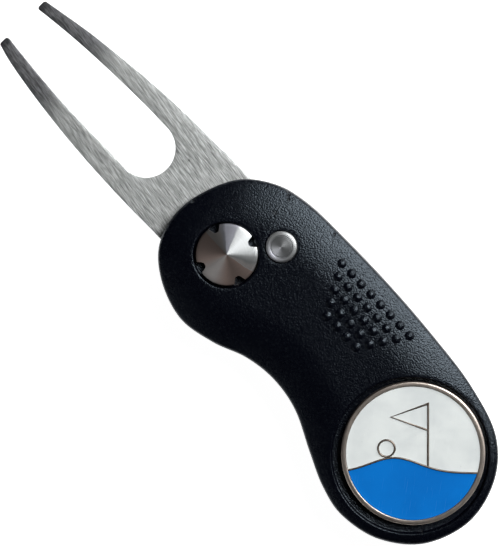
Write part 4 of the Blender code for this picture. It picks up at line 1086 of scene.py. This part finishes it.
class Recipe(Graph):
    """A geometry tree with named inputs, run once on a base mesh."""

    def __init__(self, name, inputs):
        tree = bpy.data.node_groups.new(name, "GeometryNodeTree")
        super().__init__(tree)
        tree.interface.new_socket("Geometry", in_out="INPUT", socket_type="NodeSocketGeometry")
        for key, kind in inputs.items():
            tree.interface.new_socket(key, in_out="INPUT", socket_type=kind)
        tree.interface.new_socket("Geometry", in_out="OUTPUT", socket_type="NodeSocketGeometry")
        self.start = tree.nodes.new("NodeGroupInput")
        self.end = tree.nodes.new("NodeGroupOutput")

    def given(self, key):
        return Value(self, self.start.outputs[key])

    def close(self, geometry):
        """Smooth, make real, and give the finish."""
        real = self.node("GeometryNodeRealizeInstances", None, {"Geometry": geometry})
        smooth = self.node(
            "GeometryNodeSetShadeSmooth", None, {"Geometry": real, "Shade Smooth": True},
        )
        self.dress(smooth)

    def dress(self, geometry):
        """Give the finish and end the tree."""
        done = self.node(
            "GeometryNodeSetMaterial", None,
            {"Geometry": geometry, "Material": self.given("Finish")},
        )
        self.tree.links.new(done.socket, self.end.inputs[0])

    def run(self, name, base, values):
        """The plain piece that the tree makes from a base mesh."""
        piece = show(name, base)
        modifier = piece.modifiers.new("recipe", "NODES")
        modifier.node_group = self.tree
        for item in self.tree.interface.items_tree:
            if item.name in values:
                modifier[item.identifier] = values[item.name]
        piece.data = evaluated(piece)
        return piece


def wire_recipe():
    """A round or flattened bar along a path."""
    recipe = Recipe("bar_along_path", {
        "Radius": "NodeSocketFloat", "Sides": "NodeSocketInt", "Flatness": "NodeSocketFloat",
        "Level": "NodeSocketFloat", "Finish": "NodeSocketMaterial",
    })
    path = recipe.node("GeometryNodeMeshToCurve", None, {"Mesh": recipe.given("Geometry")})
    ring = recipe.node(
        "GeometryNodeCurvePrimitiveCircle", None,
        {"Resolution": recipe.given("Sides"), "Radius": recipe.given("Radius")},
    )
    bar = recipe.node(
        "GeometryNodeCurveToMesh", None, {"Curve": path, "Profile Curve": ring, "Fill Caps": True},
    )
    x, y, z = recipe.apart(recipe.node("GeometryNodeInputPosition"))
    level = recipe.given("Level")
    lower = (z - level) * recipe.given("Flatness") + level
    flat = recipe.node("ShaderNodeCombineXYZ", None, [x, y, lower])
    bar = recipe.node("GeometryNodeSetPosition", None, {"Geometry": bar, "Position": flat})
    recipe.close(bar)
    return recipe


def path_mesh(paths):
    """Open or closed paths of points as edges, in the frame."""
    points, edges = [], []
    for path, closed in paths:
        start = len(points)
        points += list(path)
        edges += [(start + k, start + k + 1) for k in range(len(path) - 1)]
        if closed:
            edges.append((len(points) - 1, start))
    mesh = bpy.data.meshes.new("path")
    mesh.from_pydata(put(points).tolist(), edges, [])
    return mesh


def torsion_spring(recipe):
    """A leg in the rear cover, the coil, and a leg that stands in the fork."""
    wire, pitch, top = 0.35, 0.8, 6.9
    turns = np.linspace(0, SPRING_TURNS, round(SPRING_TURNS * 48) + 1)
    angles = SPRING_START + 2 * math.pi * turns
    across = SPRING_RADIUS * np.stack([np.cos(angles), np.sin(angles)])
    coil = np.stack([*across, SPRING_BOTTOM + pitch * turns], 1)
    leg = [(r * math.cos(SPRING_START), r * math.sin(SPRING_START), SPRING_BOTTOM) for r in (6.7, 3.8)]
    end = across[:, -1]
    rise = [(*end, z) for z in np.linspace(coil[-1][2] + 0.3, top, 6)]
    path = path_mesh([([*leg, *coil.tolist(), *rise], False)])
    return recipe.run("wound_spring", path, {
        "Radius": wire * MM, "Sides": 14, "Flatness": 1.0, "Level": 0.0, "Finish": SPRING,
    })


def marker_lines(recipe):
    """Raised metal lines that hold the enamels apart."""
    def raised(points):
        return [(x, y, FIELD_FLOOR) for x, y in on_marker(points)]

    pole = np.stack([np.full(20, POLE_X), np.linspace(float(hill(POLE_X)), POLE_TOP + 0.2, 20)], 1)
    paths = [
        (raised(skyline(FIELD_RADIUS, 0.0)), False),
        (raised(pole), False),
        (raised(flag_edge()), False),
        (raised(ball_edge()), True),
    ]
    return recipe.run("marker_lines", path_mesh(paths), {
        "Radius": LINE / 2 * MM, "Sides": 16, "Flatness": 1.75, "Level": FIELD_FLOOR * MM,
        "Finish": LINES,
    })


def bump_recipe():
    """Rows of domes laid on a cover, each row one dome shorter than the last."""
    recipe = Recipe("grip_rows", {
        "Cover": "NodeSocketObject", "Rows": "NodeSocketInt", "Longest row": "NodeSocketInt",
        "Pitch": "NodeSocketFloat", "Row spacing": "NodeSocketFloat", "Middle": "NodeSocketFloat",
        "First row": "NodeSocketFloat", "Dome": "NodeSocketObject", "Finish": "NodeSocketMaterial",
    })
    longest, pitch = recipe.given("Longest row"), recipe.given("Pitch")
    index = recipe.node("GeometryNodeInputIndex")
    row = (index / longest).math("FLOOR")
    column = index - row * longest
    x = recipe.given("Middle") + (column - (longest - row - 1.0) * 0.5) * pitch
    y = recipe.given("First row") - row * recipe.given("Row spacing")
    above = recipe.node("ShaderNodeCombineXYZ", None, [x, y, 0.05])
    points = recipe.node("GeometryNodePoints", None, {
        "Count": recipe.given("Rows") * longest, "Position": above, "Radius": 0.001,
    })
    spare = column.math("GREATER_THAN", longest - row - 0.5)
    points = recipe.node("GeometryNodeDeleteGeometry", None, {"Geometry": points, "Selection": spare})
    info = recipe.node("GeometryNodeObjectInfo", None, {"Object": recipe.given("Cover")}, "Geometry")
    cast = recipe.tree.nodes.new("GeometryNodeRaycast")
    recipe.tree.links.new(info.socket, cast.inputs["Target Geometry"])
    pick(cast.inputs, "Ray Direction").default_value = (0.0, 0.0, -1.0)
    hit = Value(recipe, cast.outputs["Hit Position"])
    normal = Value(recipe, cast.outputs["Hit Normal"])
    held = recipe.node("GeometryNodeStoreNamedAttribute", {"data_type": "FLOAT_VECTOR"}, {
        "Geometry": points, "Name": "lean", "Value": normal,
    })
    points = recipe.node("GeometryNodeSetPosition", None, {"Geometry": held, "Position": hit})
    lean = recipe.node(
        "GeometryNodeInputNamedAttribute", {"data_type": "FLOAT_VECTOR"}, {"Name": "lean"},
    )
    upright = recipe.node("FunctionNodeAlignRotationToVector", {"axis": "Z"}, {"Vector": lean})
    dome = recipe.node("GeometryNodeObjectInfo", None, {"Object": recipe.given("Dome")}, "Geometry")
    domes = recipe.node("GeometryNodeInstanceOnPoints", None, {
        "Points": points, "Instance": dome, "Rotation": upright, "Scale": (1.0, 1.0, 1.0),
    })
    recipe.close(domes)
    return recipe


def dome_piece(radius, height, sink):
    """A low dome whose foot runs out softly, with a skirt that sinks into the cover."""
    shell = Shell()
    ball = (radius ** 2 + height ** 2) / (2 * height)
    reach = radius * np.linspace(1.0, 0.1, 8)
    radii = (radius + 0.1, radius + 0.1, radius + 0.04, *reach)
    loops = [circle((0.0, 0.0), r, 20) for r in radii]
    heights = [-sink, 0.0, 0.02, *(np.sqrt(ball ** 2 - reach ** 2) - ball + height + 0.04)]
    base, top = shell.rows(loops, heights)
    shell.fan(base, -sink, up=False)
    shell.fan(top, height + 0.04)
    return show("dome", shell.mesh("dome", placed=False))


def grip_bumps(cover):
    """The thumb's field of domes, widest beside the spine."""
    base = bpy.data.meshes.new("grip_base")
    x, y, _ = put((23.3, 13.5, 0.0))
    dome = dome_piece(radius=0.76, height=0.26, sink=0.25)
    made = bump_recipe().run("grip_domes", base, {
        "Cover": cover, "Rows": 5, "Longest row": 8, "Pitch": 2.45 * MM, "Row spacing": 2.03 * MM,
        "Middle": float(x), "First row": float(y), "Dome": dome, "Finish": COVER,
    })
    bpy.data.objects.remove(dome)
    return made


def screw_mesh(head, thick, shank, low, top, drive):
    """A pan head screw standing head down on its own axis, with a cross drive."""
    profile = [
        (0.0, low), (0.5 * head, low), *rounded((head, low), (0.0, low), (head, low + thick), 0.22, 4),
        (head, low + thick), (shank, low + thick), (shank, top - 0.6 * shank), (0.0, top),
    ]
    shell = Shell()
    shell.spin(profile, (0.0, 0.0), 40)
    screw = show("screw", shell.mesh("screw", placed=False))
    length, width, depth = drive
    arm = [(length / 2, -width / 2), (length / 2, width / 2), (width / 2, width / 2)]
    cross = np.concatenate([turned(arm, k * math.pi / 2) for k in range(4)])
    cutter = Shell()
    cutter.block([cross, cross * 0.86], [low - 1.0, low + depth])
    carve(screw, [cutter.mesh("cross", placed=False)])
    smoothed(screw.data)
    screw.hide_render = True
    return screw


def screw_recipe():
    """The same screw at every point, each turned its own way."""
    recipe = Recipe("screws", {
        "Screw": "NodeSocketObject", "Seed": "NodeSocketInt", "Finish": "NodeSocketMaterial",
    })
    info = recipe.node("GeometryNodeObjectInfo", None, {"Object": recipe.given("Screw")}, "Geometry")
    turn = recipe.node(
        "FunctionNodeRandomValue", {"data_type": "FLOAT"},
        {"Min": 0.0, "Max": math.pi / 2, "Seed": recipe.given("Seed")},
    )
    aim = recipe.node("ShaderNodeCombineXYZ", None, [0.0, 0.0, turn])
    made = recipe.node("GeometryNodeInstanceOnPoints", None, {
        "Points": recipe.given("Geometry"), "Instance": info, "Rotation": aim,
    })
    real = recipe.node("GeometryNodeRealizeInstances", None, {"Geometry": made})
    recipe.dress(real)
    return recipe


def screws():
    """The four cover screws as one piece, and the barrel's screw; sizes as screw_mesh takes them."""
    recipe = screw_recipe()
    made = []
    for name, places, sizes, seed in (
        ("back_screws", COVER_SCREWS, (1.75, 1.2, 0.9, 0.15, 9.0, (2.0, 0.5, 0.6)), 4),
        ("barrel_screw", [(0.0, 0.0)], (3.0, 1.0, 1.4, 0.15, 7.8, (2.8, 0.7, 0.6)), 9),
    ):
        screw = screw_mesh(*sizes)
        base = bpy.data.meshes.new("screw_places")
        base.from_pydata(put([(x, y, 0.0) for x, y in places]).tolist(), [], [])
        made.append(recipe.run(name, base, {"Screw": screw, "Seed": seed, "Finish": ZINC}))
        bpy.data.objects.remove(screw)
    return made


# ---- the tool ---------------------------------------------------------------------------------

def seat(piece, body, slot, *nodes):
    """Ride a body and stand for the named solids; the slot is not used."""
    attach(piece, body)
    if nodes:
        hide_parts(*nodes)


front = front_cover()
bumps = grip_bumps(front)
seat(front, "handle", "cover_plastic", "front_cover")
seat(bumps, "handle", "cover_plastic")
seat(rear_cover(), "handle", "cover_plastic", "rear_cover")
seat(fork(), "fork", "brushed_steel", "fork")
seat(pivot_cap(), "handle", "turned_steel", "pivot_cap")
seat(release_button(), "button", "turned_steel", "release_button")
seat(marker_base(), "marker", "marker_nickel", "marker_base")
for enamel_piece, enamel_node in enamel():
    colour = "enamel_blue" if enamel_node == "enamel_hill" else "enamel_white"
    seat(enamel_piece, "marker", colour, enamel_node)
back_screws, barrel_screw = screws()
seat(back_screws, "handle", "zinc_steel", *[f"cover_screw_{k + 1}" for k in range(4)])
seat(barrel_screw, "handle", "zinc_steel", "pivot_screw")
wire = wire_recipe()
seat(marker_lines(wire), "marker", "marker_nickel")
spring = torsion_spring(wire)
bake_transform(spring)
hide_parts("torsion_spring")
leaf = leaf_spring()
root, free = turned([(13.2, 0.0), (11.0, 0.0)], BUTTON_ANGLE)
put((*root, 3.6))
put((*free, 3.6))
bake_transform(leaf)
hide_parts("lock_spring")

for node, finish in {
    "front_washer": BRONZE, "rear_washer": BRONZE, "lock_screw": ZINC,
    "stop_pin": ZINC, "marker_magnet": MAGNET,
}.items():
    dress(frame["nodes"][node].data, finish)


# ---- floor, light and camera ------------------------------------------------------------------

def floor_look():
    look = Look("pale_floor", Roughness=0.9)
    cloud = look.noise(look.place(), 0.004, 3.0)
    look.feed("Base Color", look.mix(cloud, (0.8, 0.8, 0.8), (0.82, 0.82, 0.82)))
    look.shader.inputs["Emission Color"].default_value = (1.0, 1.0, 1.0, 1.0)
    look.shader.inputs["Emission Strength"].default_value = 0.96
    return look.material


def floor():
    shell = Shell()
    ring = shell.ring(circle((0.0, 0.0), 3000.0, 96), -0.02)
    shell.fan(ring, -0.02)
    made = show("floor", shell.mesh("floor"), floor_look())


def aimed(made, place, target):
    """Stand a light or camera at a place, given from the pivot, and aim it."""
    made.location = Vector(put(place))
    direction = Vector(put(target)) - made.location
    made.rotation_mode = "QUATERNION"
    made.rotation_quaternion = direction.to_track_quat("-Z", "Y")


def softbox(name, place, target, size, power):
    light = bpy.data.lights.new(name, "AREA")
    light.shape = "RECTANGLE"
    light.size, light.size_y = (value * MM for value in size)
    light.energy = power
    made = bpy.data.objects.new(name, light)
    bpy.context.scene.collection.objects.link(made)
    aimed(made, place, target)


def camera():
    """Straight above the front, leaning a few degrees over the spine."""
    tilt, lean, roll = math.radians(3.2), math.radians(43.0), math.radians(46.9)
    distance, view_height = 400.0, 94.4637
    data = bpy.data.cameras.new("camera")
    data.sensor_width = 36.0
    data.lens = data.sensor_width * distance / view_height
    data.clip_start, data.clip_end = 0.01, 20.0
    made = bpy.data.objects.new("camera", data)
    bpy.context.scene.collection.objects.link(made)
    out = Vector((math.sin(tilt) * math.cos(lean), math.sin(tilt) * math.sin(lean), math.cos(tilt)))
    axis = Vector((0.0, 0.0, 1.0)).cross(out).normalized()
    rotation = Matrix.Rotation(roll, 3, "Z") @ Matrix.Rotation(tilt, 3, axis)
    target = Vector(put((5.08, 0.77, THICKNESS)))
    made.matrix_world = rotation.to_4x4()
    made.location = target + distance * MM * (rotation @ Vector((0.0, 0.0, 1.0)))
    bpy.context.scene.camera = made


floor()
camera()
softbox("key", (40.0, 330.0, 420.0), (0.0, 0.0, 0.0), (260.0, 260.0), 2.8)
softbox("fill", (-60.0, -420.0, 260.0), (0.0, 0.0, 0.0), (300.0, 120.0), 0.14)
softbox("edge", (60.0, 560.0, 250.0), (20.0, 0.0, 0.0), (420.0, 220.0), 1.2)
world = bpy.data.worlds.new("studio")
bpy.context.scene.world = world
world.use_nodes = True
world.node_tree.nodes["Background"].inputs["Color"].default_value = (1.0, 1.0, 1.0, 1.0)
world.node_tree.nodes["Background"].inputs["Strength"].default_value = 0.014
bpy.context.scene.view_settings.view_transform = "Standard"
